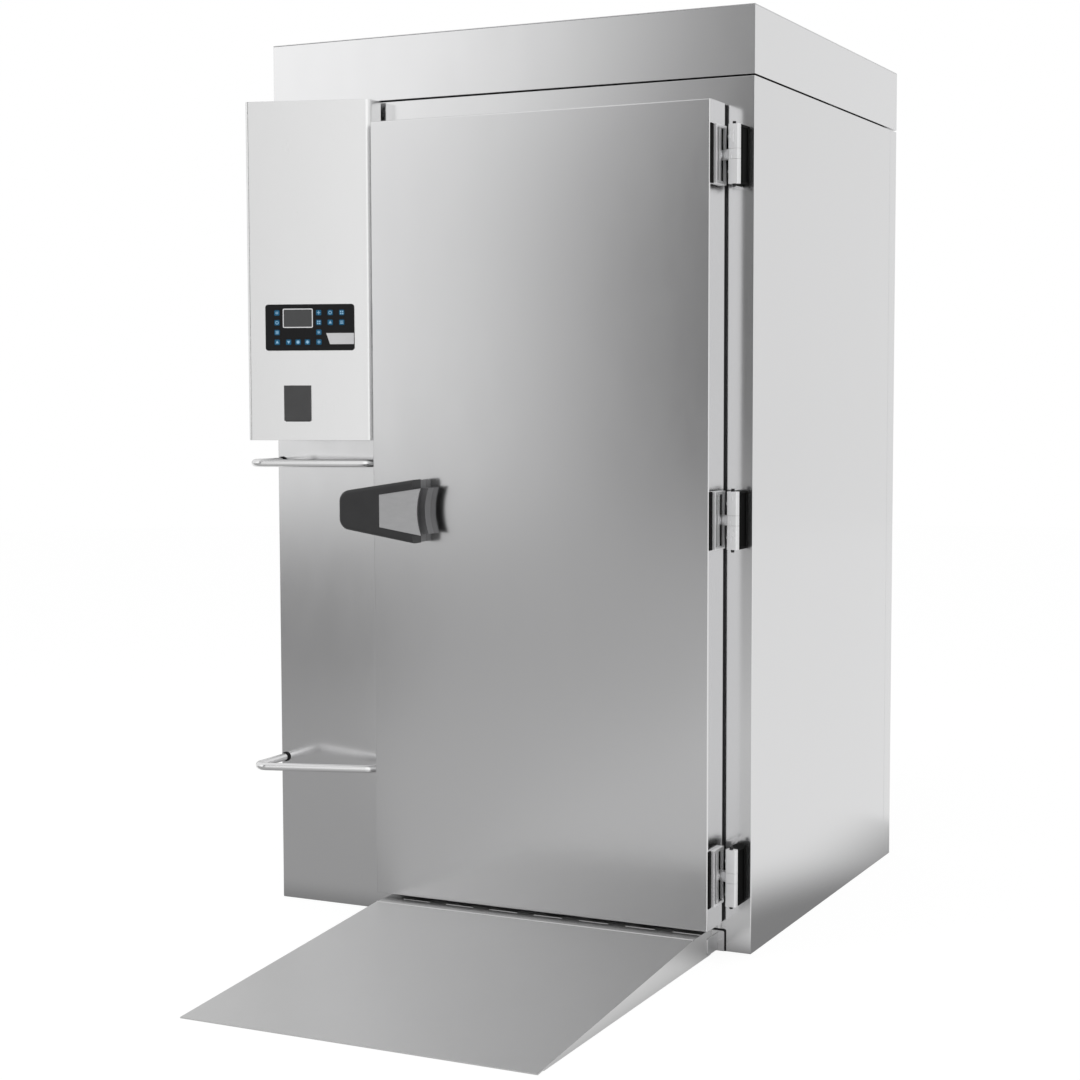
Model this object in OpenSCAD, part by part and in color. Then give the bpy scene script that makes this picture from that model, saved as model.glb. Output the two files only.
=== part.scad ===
// Roll-in blast chiller: an insulated cabinet with one door, a control box, an evaporator
// compartment behind a swinging fan panel, guard rails and an entry ramp.
// The origin is the centre of the cabinet's footprint on the floor. The front faces -Y.

/* [Cabinet] */
// Width of the cabinet
cab_w = 1416; // [1300:1:1600]
// Depth of the cabinet
cab_d = 1266; // [1200:1:1400]
// Height of the cabinet with its cowl
cab_h = 2400; // [2350:1:2500]
// Height of the sheet cowl on top
cowl_h = 176; // [120:1:200]
// Thickness of the insulated walls
wall_t = 70; // [50:1:80]
// Thickness of the insulated roof
roof_t = 87; // [70:1:100]
// Thickness of the insulated floor
floor_t = 67; // [50:1:72]
// Thickness of the front frame
front_t = 60; // [50:1:80]
// Thickness of the cowl's sheet
cowl_sheet = 3; // [2:0.5:4]
// Width of the cowl's inward flanges
cowl_flange = 25; // [15:1:40]

/* [Door opening] */
// Width of the strip of frame beside the hinges
jamb_w = 93; // [85:1:110]
// Width of the cabinet's front to the left of the door opening
strip_w = 405; // [380:1:440]

/* [Door] */
// Door overlap past the opening on the handle side
lap_left = 27; // [20:1:35]
// Door overlap past the opening on the hinge side
lap_right = 19; // [15:1:25]
// Door overlap past the top of the opening
lap_top = 20; // [15:1:30]
// Gap between the door's bottom edge and the floor panel
door_lift = 11; // [8:1:16]
// Thickness of the door
door_t = 105; // [90:1:115]
// Gap between the door and the front frame, filled by the gasket
gasket_gap = 13; // [10:0.5:16]
// Width of the gasket section
gasket_w = 16; // [12:0.5:18]
// Free space left between the gasket and the frame
gasket_clear = 0.4; // [0.3:0.1:1]
// Thickness of the door's outer skin
skin_t = 2; // [1:0.5:3]

/* [Hinges] */
// Distance of the end hinges' centres from the door's top and bottom edges
hinge_in = 131.5; // [110:0.5:160]
// Height of a hinge
hinge_h = 146; // [120:1:160]
// Distance of the hinge pin in front of the frame
hinge_pin_out = 60; // [56:1:66]
// Distance of the hinge pin beside the door's edge
hinge_pin_side = 42; // [38:1:46]
// Radius of the hinge pin
hinge_pin_r = 4.5; // [3.5:0.1:5]
// Running clearance of the hinge pin in the door's knuckle
hinge_fit = 0.05; // [0.02:0.01:0.1]
// Height of the door's middle knuckle
knuckle_h = 25; // [20:1:40]
// Width of the frame knuckles
knuckle_w = 28.5; // [26:0.5:31]
// Depth of the frame knuckles
knuckle_d = 19; // [18:0.5:20]
// End play of the door's knuckle above and below
knuckle_play = 0.5; // [0.3:0.1:1]
// Length of the pin that shows past each end of a hinge
pin_stub = 7; // [4:1:12]
// Thickness that the door's hinge leaf stands out from the door's side
leaf_out = 10; // [8:1:12]

/* [Handle] */
// Distance of the handle's centre below the control box
handle_drop = 183; // [160:1:220]
// Distance of the handle's front face in front of the door
handle_out = 78; // [70:1:90]
// Length of the handle from its rounded end to its arm ends
handle_len = 226; // [220:1:240]
// Distance that the handle reaches past the door's edge
handle_past = 63; // [55:1:68]
// Height of the handle at its narrow end
handle_narrow = 107; // [95:1:115]
// Height of the handle at its arm ends
handle_wide = 168; // [160:1:180]
// Thickness of the moving lever
lever_t = 48; // [44:1:52]
// Distance that the grip plate reaches past the arm ends
grip_past = 25; // [20:1:30]
// Radius of the lever's pivot pin
lever_pin_r = 5; // [4:0.1:6]
// Running clearance of the lever on its pin
lever_fit = 0.05; // [0.02:0.01:0.1]
// Largest turn of the lever
lever_turn = 18; // [12:1:18]
// Distance of the lever's pivot from the door's edge
lever_pivot = 50; // [45:1:60]
// Distance of the release rod from the lever's pivot
rod_arm = 55; // [45:1:60]
// Radius of the release rod
rod_r = 7; // [6:0.5:9]
// Running clearance of the release rod in its guide
rod_fit = 0.08; // [0.02:0.01:0.1]

/* [Control box] */
// Width of the control box's front face along its slant
box_face = 350.18; // [340:0.01:360]
// Angle of the control box's front face toward the door
box_angle = 16.94; // [12:0.01:18]
// Depth of the control box at its door side
box_shallow = 72; // [66:1:80]
// Distance from the cabinet's left side to the control box's front corner
box_left = 16; // [14:1:30]
// Height of the control box
box_h = 914; // [880:1:940]
// Thickness of the control box's sheet
box_sheet = 2; // [1.5:0.5:2.5]
// Outer radius of the control box's bends
box_bend = 12; // [8:1:16]
// Gap between the control box and the cabinet's front
box_gap = 14; // [3:0.5:16]
// Width of the key panel
panel_w = 248; // [240:1:256]
// Height of the key panel
panel_h = 125; // [120:1:130]
// Thickness of the key panel
panel_t = 2.4; // [2.2:0.1:3]
// Height of the key panel's centre above the control box's bottom
panel_up = 306; // [280:1:380]
// Width of a key
key_w = 17; // [14:0.5:20]
// Height of a key
key_h = 17; // [14:0.5:20]
// Thickness of a key
key_t = 1.3; // [1:0.1:1.4]
// Gap around a key
key_gap = 0.3; // [0.25:0.05:0.5]
// Distance between the centres of two keys in a column
key_pitch = 26.4; // [25:0.1:28]
// Distance between the centres of two columns of keys
column_pitch = 32; // [30:0.5:34]
// Travel of a key
key_travel = 0.4; // [0.3:0.1:0.5]
// Width of the display window
display_w = 84; // [80:1:86]
// Height of the display window
display_h = 52; // [46:1:54]
// Width of the printer's flap
flap_w = 75; // [70:1:80]
// Height of the printer's flap
flap_h = 96; // [90:1:110]
// Thickness of the printer's flap
flap_t = 3; // [2.5:0.5:4]
// Height of the flap's bottom edge above the control box's bottom
flap_up = 53; // [40:1:70]
// Radius of the flap's pivot pins
flap_pin_r = 1; // [0.8:0.1:1.2]
// Running clearance of the flap's pins
flap_fit = 0.05; // [0.02:0.01:0.1]

/* [Rails and ramp] */
// Diameter of the guard rails
rail_d = 21; // [16:1:23]
// Centre radius of the guard rails' bends
rail_bend = 28; // [24:1:34]
// Height of the lower guard rail above the floor
rail_low_z = 406; // [300:1:600]
// Distance of the upper guard rail below the control box
rail_drop = 63; // [50:1:90]
// Distance of the ramp's landing edge in front of the cabinet
landing = 165; // [150:1:180]
// Distance of the ramp's tip in front of the cabinet
ramp_len = 1062; // [900:1:1200]
// Thickness of the ramp's sheet
ramp_sheet = 3; // [2:0.5:4]
// Length of a drain slot in the landing
slot_len = 90; // [70:1:100]
// Width of a drain slot in the landing
slot_w = 7; // [5:0.5:9]
// Distance between the centres of two drain slots in a row
slot_pitch = 131; // [120:1:140]
// Distances of the two slot rows in front of the cabinet
slot_rows = [70, 112]; // [60:1:130]

/* [Air side] */
// Heights of the two fans above the floor
fan_z = [620, 1560]; // [500:10:1650]
// Radius of the fans' blades
fan_r = 240; // [200:5:250]
// Number of blades of a fan
fan_blades = 5; // [3:1:7]
// Radius of the fans' hubs
hub_r = 62; // [50:1:75]
// Radius of the motors' shafts
shaft_r = 8; // [6:0.5:10]
// Running clearance of the fans on their shafts
shaft_fit = 0.05; // [0.02:0.01:0.1]
// Length of the fan panel from its pins to its free edge
fan_panel_len = 880; // [820:5:890]
// Depth of the fan panel's folded edges
fan_panel_t = 14; // [12:1:18]
// Thickness of the fan panel's sheet
fan_sheet = 2.5; // [2:0.5:3]
// Radius of the fan panel's pivot pins
fan_pin_r = 7; // [5:0.5:9]
// Running clearance of the fan panel's pins
fan_pin_fit = 0.05; // [0.02:0.01:0.1]
// Length of the evaporator coil
coil_len = 860; // [700:10:900]
// Height of the evaporator coil
coil_h = 1600; // [1200:10:1700]
// Depth of the evaporator coil
coil_d = 130; // [110:1:140]
// Number of fins that stand for the coil's fin pack
fin_count = 22; // [12:1:30]
// Number of tube rows in the coil
tube_rows = 8; // [4:1:10]
// Radius of the coil's tubes
tube_r = 8; // [6:0.5:10]
// Heights of the two wall bumpers above the floor
bumper_z = [260, 900]; // [150:10:1200]
// Distance of the supply hole from the cabinet's right side
supply_in = 200; // [150:10:300]

/* [Hidden] */
$fn = 48;

// Cabinet
left_x = -cab_w / 2;
right_x = cab_w / 2;
front_y = -cab_d / 2;
back_y = cab_d / 2;
cowl_z = cab_h - cowl_h;
open_top = cowl_z - roof_t;
open_x1 = right_x - jamb_w;
open_x0 = left_x + strip_w;
opening_w = open_x1 - open_x0;
inner_x0 = left_x + wall_t;
inner_x1 = right_x - wall_t;
inner_y0 = front_y + front_t;
inner_y1 = back_y - wall_t;

// Door
door_x0 = open_x0 - lap_left;
door_x1 = open_x1 + lap_right;
door_z0 = floor_t + door_lift;
door_z1 = open_top + lap_top;
door_back = front_y - gasket_gap;
door_front = door_back - door_t;
pin_x = door_x1 + hinge_pin_side;
pin_y = front_y - hinge_pin_out;
hinge_z = [door_z0 + hinge_in, (door_z0 + door_z1) / 2, door_z1 - hinge_in];
leaf_y1 = 32;
arm_y1 = leaf_y1 - 2;

// Lever, measured from the door's edge and front face
lever_back = lever_t - handle_out;
lever_pin_y = lever_t / 2 - handle_out;
lever_x0 = -handle_past;
lever_x1 = handle_len - handle_past;
nose_r = 6;
nose_x = lever_x0 + 19;
nose_y = 14;
nose_dx = nose_x - lever_pivot;
nose_dy = nose_y - lever_pin_y;
nose_end_y = lever_pin_y - nose_dx * sin(lever_turn) + nose_dy * cos(lever_turn) + nose_r;
strike_clear = 0.5;
rod_x = lever_pivot + rod_arm;
rod_gap = 1;
guide_r = rod_r + 5;
grip_t = 3;
grip_half = 62;
grip_half_in = 43;
grip_x0 = 63;
tongue_t = 9;
ear_z = 31;
ear_t = 10;
lever_pin_half = 44;
knob_r = 28;

// Control box: its slanted face starts at its left front corner
box_x0 = left_x + box_left;
box_x1 = box_x0 + box_face * cos(box_angle);
box_y1 = front_y - box_shallow;
box_y0 = box_y1 - box_face * sin(box_angle);
box_z0 = cowl_z - box_h;
handle_z = box_z0 - handle_drop;
panel_z = box_z0 + panel_up;
panel_x = box_face - 172;
display_dx = -33;
display_dz = 25;
pocket_floor = 0.6;
key_spots = concat(
    [for (row = [1.5, 0.5, -0.5, -1.5]) [display_dx - key_pitch - column_pitch, row * key_pitch]],
    [for (i = [-1, 0, 1]) [display_dx + i * key_pitch, -1.5 * key_pitch]],
    [for (row = [-1.5, -0.5, 0.5, 1.5]) [display_dx + key_pitch + column_pitch, row * key_pitch]],
    [for (c = [2, 3], row = [0.5, 1.5]) [display_dx + key_pitch + c * column_pitch, row * key_pitch]]
);
flap_x = 104.5;
flap_z = box_z0 + flap_up;
flap_gap = 0.5;
flap_pin_y = -flap_gap - flap_t / 2;
flap_pin_z = flap_z + flap_t / 2;
lug_t = 4;
lug_gap = 0.4;
cutout_lip = 3;

// Guard rails
rail_z = [rail_low_z, box_z0 - rail_drop];
rail_x0 = box_x0 - 2;
rail_x1 = box_x1 - 11;
rail_y0 = box_y0 + 9;
rail_y1 = rail_y0 + (rail_x1 - rail_x0) * tan(box_angle);

// Fan panel and coil
fan_panel_x = open_x0 - 15;
fan_pivot_x = fan_panel_x + fan_panel_t / 2;
fan_pivot_y = inner_y1 - 43;
fan_y = fan_pivot_y - fan_panel_len / 2;
fan_panel_z0 = floor_t + 18;
fan_panel_z1 = open_top - 12;
ring_r = fan_r + 8;
rotor_x1 = fan_panel_x - 8;
rotor_len = 62;
motor_x1 = rotor_x1 - rotor_len - 6;
motor_len = 66;
motor_r = 72;
coil_x0 = inner_x0 + 6;
coil_y0 = -coil_len / 2;
coil_z0 = floor_t + 60;
pipe_r = [14, 8];
pipe_x = [coil_x0 + 30, coil_x0 + 90];
coil_end_room = 60;
pipe_y = coil_y0 + coil_len + coil_end_room;
pipe_z = cowl_z + 70;
pipe_stub = 40;
supply_x = right_x - supply_in;
supply_r = 12.5;

// A block between its low corner and its high corner
module block(low, high) {
    translate(low) cube(high - low);
}

// A flat rectangle about its centre with round corners
module round_rect(w, h, r) {
    square([w - 2 * r, h], center = true);
    square([w, h - 2 * r], center = true);
    for (x = [-1, 1], y = [-1, 1])
        translate([x * (w / 2 - r), y * (h / 2 - r)]) circle(r);
}

// Places children on the control box's slanted face: X along it, Y into the box
module at_box_face() {
    translate([box_x0, box_y0, 0]) rotate([0, 0, box_angle]) children();
}

// A plate on the slanted face from an outline in X and Z, between two depths
module face_plate(y0, y1) {
    at_box_face() translate([0, y1, 0]) rotate([90, 0, 0]) linear_extrude(y1 - y0) children();
}

// Places children at the door's edge and front face, at the handle's height
module at_handle() {
    translate([door_x0, door_front, handle_z]) children();
}

// A plate across the door from an outline in X and Z, between two depths
module handle_plate(y0, y1) {
    at_handle() translate([0, y1, 0]) rotate([90, 0, 0]) linear_extrude(y1 - y0) children();
}

// Places children at each hinge pin
module at_hinges() {
    for (z = hinge_z) translate([pin_x, pin_y, z]) children();
}

module floor_panel() {
    color("silver") difference() {
        block([left_x, front_y, 0], [right_x, back_y, floor_t]);
        translate([fan_pivot_x, fan_pivot_y, floor_t - 14]) cylinder(h = 15, r = fan_pin_r + fan_pin_fit);
    }
}

module left_wall() {
    color("silver") block([left_x, inner_y0, floor_t], [inner_x0, inner_y1, open_top]);
}

module right_wall() {
    color("silver") block([inner_x1, inner_y0, floor_t], [right_x, inner_y1, open_top]);
}

module back_wall() {
    color("silver") block([left_x, inner_y1, floor_t], [right_x, back_y, open_top]);
}

module roof_panel() {
    color("silver") difference() {
        block([left_x, inner_y0, open_top], [right_x, back_y, cowl_z]);
        translate([fan_pivot_x, fan_pivot_y, open_top - 1]) cylinder(h = 15, r = fan_pin_r + fan_pin_fit);
        for (i = [0, 1])
            translate([pipe_x[i], pipe_y, open_top - 1]) cylinder(h = roof_t + 2, r = pipe_r[i]);
    }
}

module front_left_panel() {
    color("silver") block([left_x, front_y, floor_t], [open_x0, inner_y0, cowl_z]);
}

module hinge_jamb() {
    color("silver") block([open_x1, front_y, floor_t], [right_x, inner_y0, cowl_z]);
}

module front_header() {
    color("silver") block([open_x0, front_y, open_top], [open_x1, inner_y0, cowl_z]);
}

module top_cowl() {
    lid_z = cab_h - cowl_sheet;
    color("silver") difference() {
        block([left_x, front_y, cowl_z], [right_x, back_y, lid_z]);
        block(
            [left_x + cowl_sheet, front_y + cowl_sheet, cowl_z + cowl_sheet],
            [right_x - cowl_sheet, back_y - cowl_sheet, lid_z + 1]
        );
        block(
            [left_x + cowl_flange, front_y + cowl_flange, cowl_z - 1],
            [right_x - cowl_flange, back_y - cowl_flange, cowl_z + cowl_sheet + 1]
        );
        for (i = [0, 1])
            translate([pipe_x[i], back_y - cowl_sheet - 1, pipe_z])
                rotate([-90, 0, 0]) cylinder(h = cowl_sheet + 2, r = pipe_r[i]);
        translate([supply_x, back_y - cowl_sheet - 1, pipe_z])
            rotate([-90, 0, 0]) cylinder(h = cowl_sheet + 2, r = supply_r);
    }
}

module cowl_lid() {
    lid_z = cab_h - cowl_sheet;
    lip = 20;
    color("silver") {
        block([left_x, front_y, lid_z], [right_x, back_y, cab_h]);
        difference() {
            block(
                [left_x + cowl_sheet, front_y + cowl_sheet, lid_z - lip],
                [right_x - cowl_sheet, back_y - cowl_sheet, lid_z]
            );
            block(
                [left_x + 2 * cowl_sheet, front_y + 2 * cowl_sheet, lid_z - lip - 1],
                [right_x - 2 * cowl_sheet, back_y - 2 * cowl_sheet, lid_z]
            );
        }
    }
}

// The landing with its drain slots, the sloping deck and the two side plates
module ramp() {
    side_back = 36;
    slope = (floor_t - ramp_sheet) / (ramp_len - landing);
    heel = (floor_t - ramp_sheet) / slope + landing;
    slot_from_side = 62;
    slots = floor((opening_w - 70) / slot_pitch);
    color("silver") {
        difference() {
            block(
                [open_x0, front_y - landing, floor_t - ramp_sheet],
                [open_x1, front_y, floor_t]
            );
            for (row = [0, 1], i = [0:slots]) {
                slot_x = open_x0 + slot_from_side + (i + row / 2 - 0.25) * slot_pitch;
                translate([slot_x, front_y - slot_rows[row], 0]) drain_slot();
            }
        }
        front_profile(open_x0, opening_w) polygon([
            [landing, floor_t],
            [ramp_len, ramp_sheet],
            [ramp_len, 0],
            [heel - ramp_sheet / 2, 0],
            [landing, floor_t - ramp_sheet]
        ]);
        for (x = [open_x0, open_x1 - ramp_sheet])
            front_profile(x, ramp_sheet) polygon([
                [side_back, 0],
                [side_back, floor_t - ramp_sheet],
                [landing, floor_t - ramp_sheet],
                [heel - ramp_sheet / 2, 0]
            ]);
    }
}

module drain_slot() {
    translate([0, 0, floor_t - ramp_sheet - 1]) linear_extrude(ramp_sheet + 2) {
        square([slot_len - slot_w, slot_w], center = true);
        for (x = [-1, 1]) translate([x * (slot_len - slot_w) / 2, 0]) circle(slot_w / 2);
    }
}

// Extrudes an outline along X: its first value runs forward from the cabinet, its second up
module front_profile(x, length) {
    translate([x, front_y, 0]) rotate([90, 0, -90]) translate([0, 0, -length])
        linear_extrude(length) children();
}

// Angle brackets that hold the ramp's side plates to the cabinet's front
module ramp_brackets() {
    tall = 54;
    half_w = 21;
    reach = 72;
    fin_lift = 4;
    screw_r = 3.5;
    screw_side = 11;
    screw_proud = 2;
    color("silver") for (side = [-1, 1]) {
        edge = side < 0 ? open_x0 : open_x1;
        fin_x = side < 0 ? edge - ramp_sheet : edge;
        block([edge - half_w, front_y - ramp_sheet, 0], [edge + half_w, front_y, tall]);
        block([fin_x, front_y - reach, fin_lift], [fin_x + ramp_sheet, front_y - ramp_sheet, tall - 6]);
        translate([edge + side * screw_side, front_y - ramp_sheet, tall / 2 + fin_lift])
            rotate([90, 0, 0]) cylinder(h = screw_proud, r = screw_r);
    }
}

// Polymer blocks that carry the frame knuckles on the jamb
module hinge_base_blocks() {
    block_x0 = -knuckle_w / 2 + 1;
    room = 1.5;
    arm_rise = (arm_y1 - knuckle_d / 2) / (hinge_pin_side - 1);
    color("dimgray") at_hinges() difference() {
        block(
            [block_x0, knuckle_d / 2 - 0.5, -hinge_h / 2],
            [knuckle_w / 2 + 1, hinge_pin_out, hinge_h / 2]
        );
        linear_extrude(knuckle_h + 2 * room, center = true) {
            circle(knuckle_d / 2 + room);
            polygon([
                [0, 0],
                [0, knuckle_d / 2 + room],
                [block_x0 - 1, knuckle_d / 2 + room - (block_x0 - 1) * arm_rise],
                [block_x0 - 1, 0]
            ]);
        }
    }
}

// Upper and lower frame knuckles, with the space between them for the door's knuckle
module hinge_frame_knuckles() {
    segment = (hinge_h - knuckle_h) / 2 - knuckle_play;
    color("gainsboro") at_hinges() for (end = [-1, 1])
        translate([0, 0, end * (hinge_h - segment) / 2 - segment / 2]) difference() {
            linear_extrude(segment) translate([1, -0.5]) round_rect(knuckle_w, knuckle_d, 4);
            translate([0, 0, -1]) cylinder(h = segment + 2, r = hinge_pin_r);
        }
}

module hinge_pins() {
    color("black") at_hinges()
        cylinder(h = hinge_h + 2 * pin_stub, r = hinge_pin_r, center = true);
}

// A channel screwed to the door's side, with an arm to the middle knuckle
module hinge_door_leaves() {
    door_side = -hinge_pin_side;
    rib = 8;
    plate_y0 = -hinge_pin_out + 22;
    color("gainsboro") at_hinges() {
        block([door_side, plate_y0, -hinge_h / 2], [door_side + 3, leaf_y1, hinge_h / 2]);
        block([door_side, plate_y0, -hinge_h / 2], [door_side + leaf_out, plate_y0 + rib, hinge_h / 2]);
        block([door_side, leaf_y1 - 17, -hinge_h / 2], [door_side + leaf_out, leaf_y1, hinge_h / 2]);
        translate([door_side, 0, 0]) rotate([0, 90, 0]) cylinder(h = leaf_out - 2, r = 9);
        translate([0, 0, -knuckle_h / 2]) difference() {
            linear_extrude(knuckle_h) {
                circle(knuckle_d / 2);
                polygon([
                    [0, knuckle_d / 2],
                    [door_side + 1, arm_y1],
                    [door_side + 1, leaf_y1 - 17],
                    [0, -knuckle_d / 2]
                ]);
            }
            translate([0, 0, -1]) cylinder(h = knuckle_h + 2, r = hinge_pin_r + hinge_fit);
        }
    }
}

// The pad on the frame that the lever's nose pushes against
module strike_block() {
    half_h = 30;
    reach = 60;
    edge_gap = 6;
    depth = front_y - door_front - nose_end_y - strike_clear;
    color("black") block(
        [door_x0 - reach, front_y - depth, handle_z - half_h],
        [door_x0 - edge_gap, front_y, handle_z + half_h]
    );
}

// A round bar that follows a level route, with a bend at each inner point
module bent_bar(route, d, bend) {
    sides = 20;
    rings = concat(
        [[route[0], heading(route[1] - route[0])]],
        [for (i = [1:len(route) - 2]) each bend_rings(route, i, bend)],
        [[route[len(route) - 1], heading(route[len(route) - 1] - route[len(route) - 2])]]
    );
    last = len(rings) - 1;
    points = [
        for (ring = rings, j = [0:sides - 1])
            let (a = ring[1], t = j * 360 / sides, side = cos(t) * d / 2)
                [ring[0].x - sin(a) * side, ring[0].y + cos(a) * side, sin(t) * d / 2]
    ];
    polyhedron(points, concat(
        [[for (j = [0:sides - 1]) j]],
        [for (i = [0:last - 1], j = [0:sides - 1]) let (k = (j + 1) % sides)
            [i * sides + k, i * sides + j, (i + 1) * sides + j, (i + 1) * sides + k]],
        [[for (j = [sides - 1:-1:0]) last * sides + j]]
    ));
}

// Ring centres and headings round one bend
function bend_rings(route, i, bend, steps = 9) =
    let (
        way = heading(route[i] - route[i - 1]),
        turn = (heading(route[i + 1] - route[i]) - way + 540) % 360 - 180,
        cut = bend * tan(abs(turn) / 2),
        centre = route[i] - cut * [cos(way), sin(way)] + sign(turn) * bend * [-sin(way), cos(way)]
    )
    [for (k = [0:steps]) let (a = way + turn * k / steps)
        [centre + sign(turn) * bend * [sin(a), -cos(a)], a]];

function heading(v) = atan2(v.y, v.x);

module guard_rail(z) {
    color("gainsboro") translate([0, 0, z]) bent_bar(
        [[rail_x0, front_y], [rail_x0, rail_y0], [rail_x1, rail_y1], [rail_x1, front_y]],
        rail_d,
        rail_bend
    );
}

module lower_guard_rail() {
    guard_rail(rail_z[0]);
}

module upper_guard_rail() {
    guard_rail(rail_z[1]);
}

module rail_grommets() {
    proud = 6;
    rim = 3;
    color("black") for (z = rail_z, x = [rail_x0, rail_x1])
        translate([x, front_y, z]) rotate([90, 0, 0]) difference() {
            cylinder(h = proud, r = rail_d / 2 + rim);
            translate([0, 0, -1]) cylinder(h = proud + 2, r = rail_d / 2);
        }
}

// Plan of the control box, drawn back by an inset
module box_plan(inset) {
    intersection() {
        offset(r = box_bend - inset) offset(delta = -box_bend) polygon([
            [box_x0, box_y0],
            [box_x1, box_y1],
            [box_x1, front_y + box_bend * 3],
            [box_x0, front_y + box_bend * 3]
        ]);
        translate([box_x0, box_y0]) square([cab_w, front_y - box_gap - box_y0]);
    }
}

module printer_cutout() {
    translate([flap_x + cutout_lip, flap_z - 2])
        square([flap_w - 2 * cutout_lip, flap_h - cutout_lip]);
}

module control_cover() {
    color("whitesmoke") difference() {
        translate([0, 0, box_z0]) linear_extrude(box_h) box_plan(0);
        translate([0, 0, box_z0 + box_sheet]) linear_extrude(box_h - 2 * box_sheet) {
            box_plan(box_sheet);
            translate([box_x0 + box_sheet, front_y - box_gap - 1])
                square([box_x1 - box_x0 - 2 * box_sheet, 2]);
        }
        face_plate(-1, box_sheet + 1) {
            printer_cutout();
            translate([panel_x, panel_z]) square([panel_w - 30, panel_h - 30], center = true);
        }
    }
}

module control_backplate() {
    plate_y = front_y - box_gap - box_sheet;
    foot_r = 10;
    foot_x = 60;
    foot_z = 80;
    color("silver") {
        block(
            [box_x0 + box_sheet, plate_y, box_z0 + box_sheet],
            [box_x1 - box_sheet, plate_y + box_sheet, cowl_z - box_sheet]
        );
        for (x = [box_x0 + foot_x, box_x1 - foot_x], z = [box_z0 + foot_z, cowl_z - foot_z])
            translate([x, front_y, z]) rotate([90, 0, 0]) cylinder(h = box_gap, r = foot_r);
    }
}

// The black panel on the slanted face, with a pocket for each key and for the window
module key_panel() {
    color("black") difference() {
        face_plate(-panel_t, 0) translate([panel_x, panel_z]) round_rect(panel_w, panel_h, 8);
        face_plate(-panel_t - 1, -pocket_floor) translate([panel_x, panel_z]) {
            for (spot = key_spots)
                translate(spot) square([key_w + 2 * key_gap, key_h + 2 * key_gap], center = true);
            translate([display_dx, display_dz]) square([display_w, display_h], center = true);
        }
    }
}

module display_window() {
    color("darkslategray") face_plate(-panel_t, -pocket_floor)
        translate([panel_x + display_dx, panel_z + display_dz])
            square([display_w, display_h], center = true);
}

module panel_key(number) {
    proud = 0.1;
    color("dodgerblue") face_plate(-panel_t - proud, key_t - panel_t - proud)
        translate([panel_x, panel_z] + key_spots[number - 1]) round_rect(key_w, key_h, 2);
}

// The circuit board on its pillars behind the key panel
module controller_board() {
    board_w = 236;
    board_h = 131;
    board_t = 2;
    board_y = box_sheet + 10;
    pillar_r = 4;
    pillar_in = 6;
    relay = [60, 50, 20];
    relay_x = -40;
    color("seagreen") {
        face_plate(board_y, board_y + board_t)
            translate([panel_x, panel_z]) square([board_w, board_h], center = true);
        face_plate(box_sheet, board_y + board_t / 2)
            for (x = [-1, 1], z = [-1, 1])
                translate([panel_x + x * (board_w / 2 - pillar_in), panel_z + z * (board_h / 2 - pillar_in)])
                    circle(pillar_r);
        face_plate(board_y + board_t / 2, board_y + board_t + relay.z)
            translate([panel_x + relay_x, panel_z]) square([relay.x, relay.y], center = true);
    }
}

// Places children at the printer flap's left pivot end, with Z along the pivot
module at_flap_pin(x) {
    at_box_face() translate([x, flap_pin_y, flap_pin_z]) rotate([0, 90, 0]) children();
}

// The printer's case behind the cover, with the lugs that carry its flap
module printer_body() {
    case_d = 62;
    wall = 3;
    rim = 8;
    throat = 6;
    lug_x = [flap_x + cutout_lip + 1, flap_x + flap_w - cutout_lip - 1 - lug_t];
    color("dimgray") {
        difference() {
            face_plate(box_sheet, box_sheet + case_d)
                translate([flap_x - rim, flap_z - 2 - rim]) square([flap_w + 2 * rim, flap_h + 2 * rim]);
            face_plate(box_sheet - 1, box_sheet + case_d - wall)
                translate([flap_x + throat, flap_z + 2 * throat])
                    square([flap_w - 2 * throat, flap_h - 3 * throat]);
        }
        for (x = lug_x) difference() {
            at_box_face() block(
                [x, flap_pin_y - flap_t / 2, flap_z - 2],
                [x + lug_t, box_sheet + 1, flap_z + 4]
            );
            at_flap_pin(x - 1) cylinder(h = lug_t + 2, r = flap_pin_r + flap_fit);
        }
    }
}

// The printer's flap, which turns down on two short pins
module printer_flap() {
    barrel_x0 = flap_x + cutout_lip + 1 + lug_t + lug_gap;
    barrel_len = flap_w - 2 * (barrel_x0 - flap_x);
    over_lugs = 5;
    color("darkslategray") {
        at_flap_pin(barrel_x0) cylinder(h = barrel_len, r = flap_t / 2);
        at_flap_pin(barrel_x0 - lug_t) cylinder(h = barrel_len + 2 * lug_t, r = flap_pin_r);
        face_plate(-flap_gap - flap_t, -flap_gap) {
            translate([flap_x, flap_z + over_lugs]) square([flap_w, flap_h - over_lugs]);
            translate([barrel_x0, flap_z + flap_t / 2]) square([barrel_len, over_lugs]);
        }
    }
}

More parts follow.
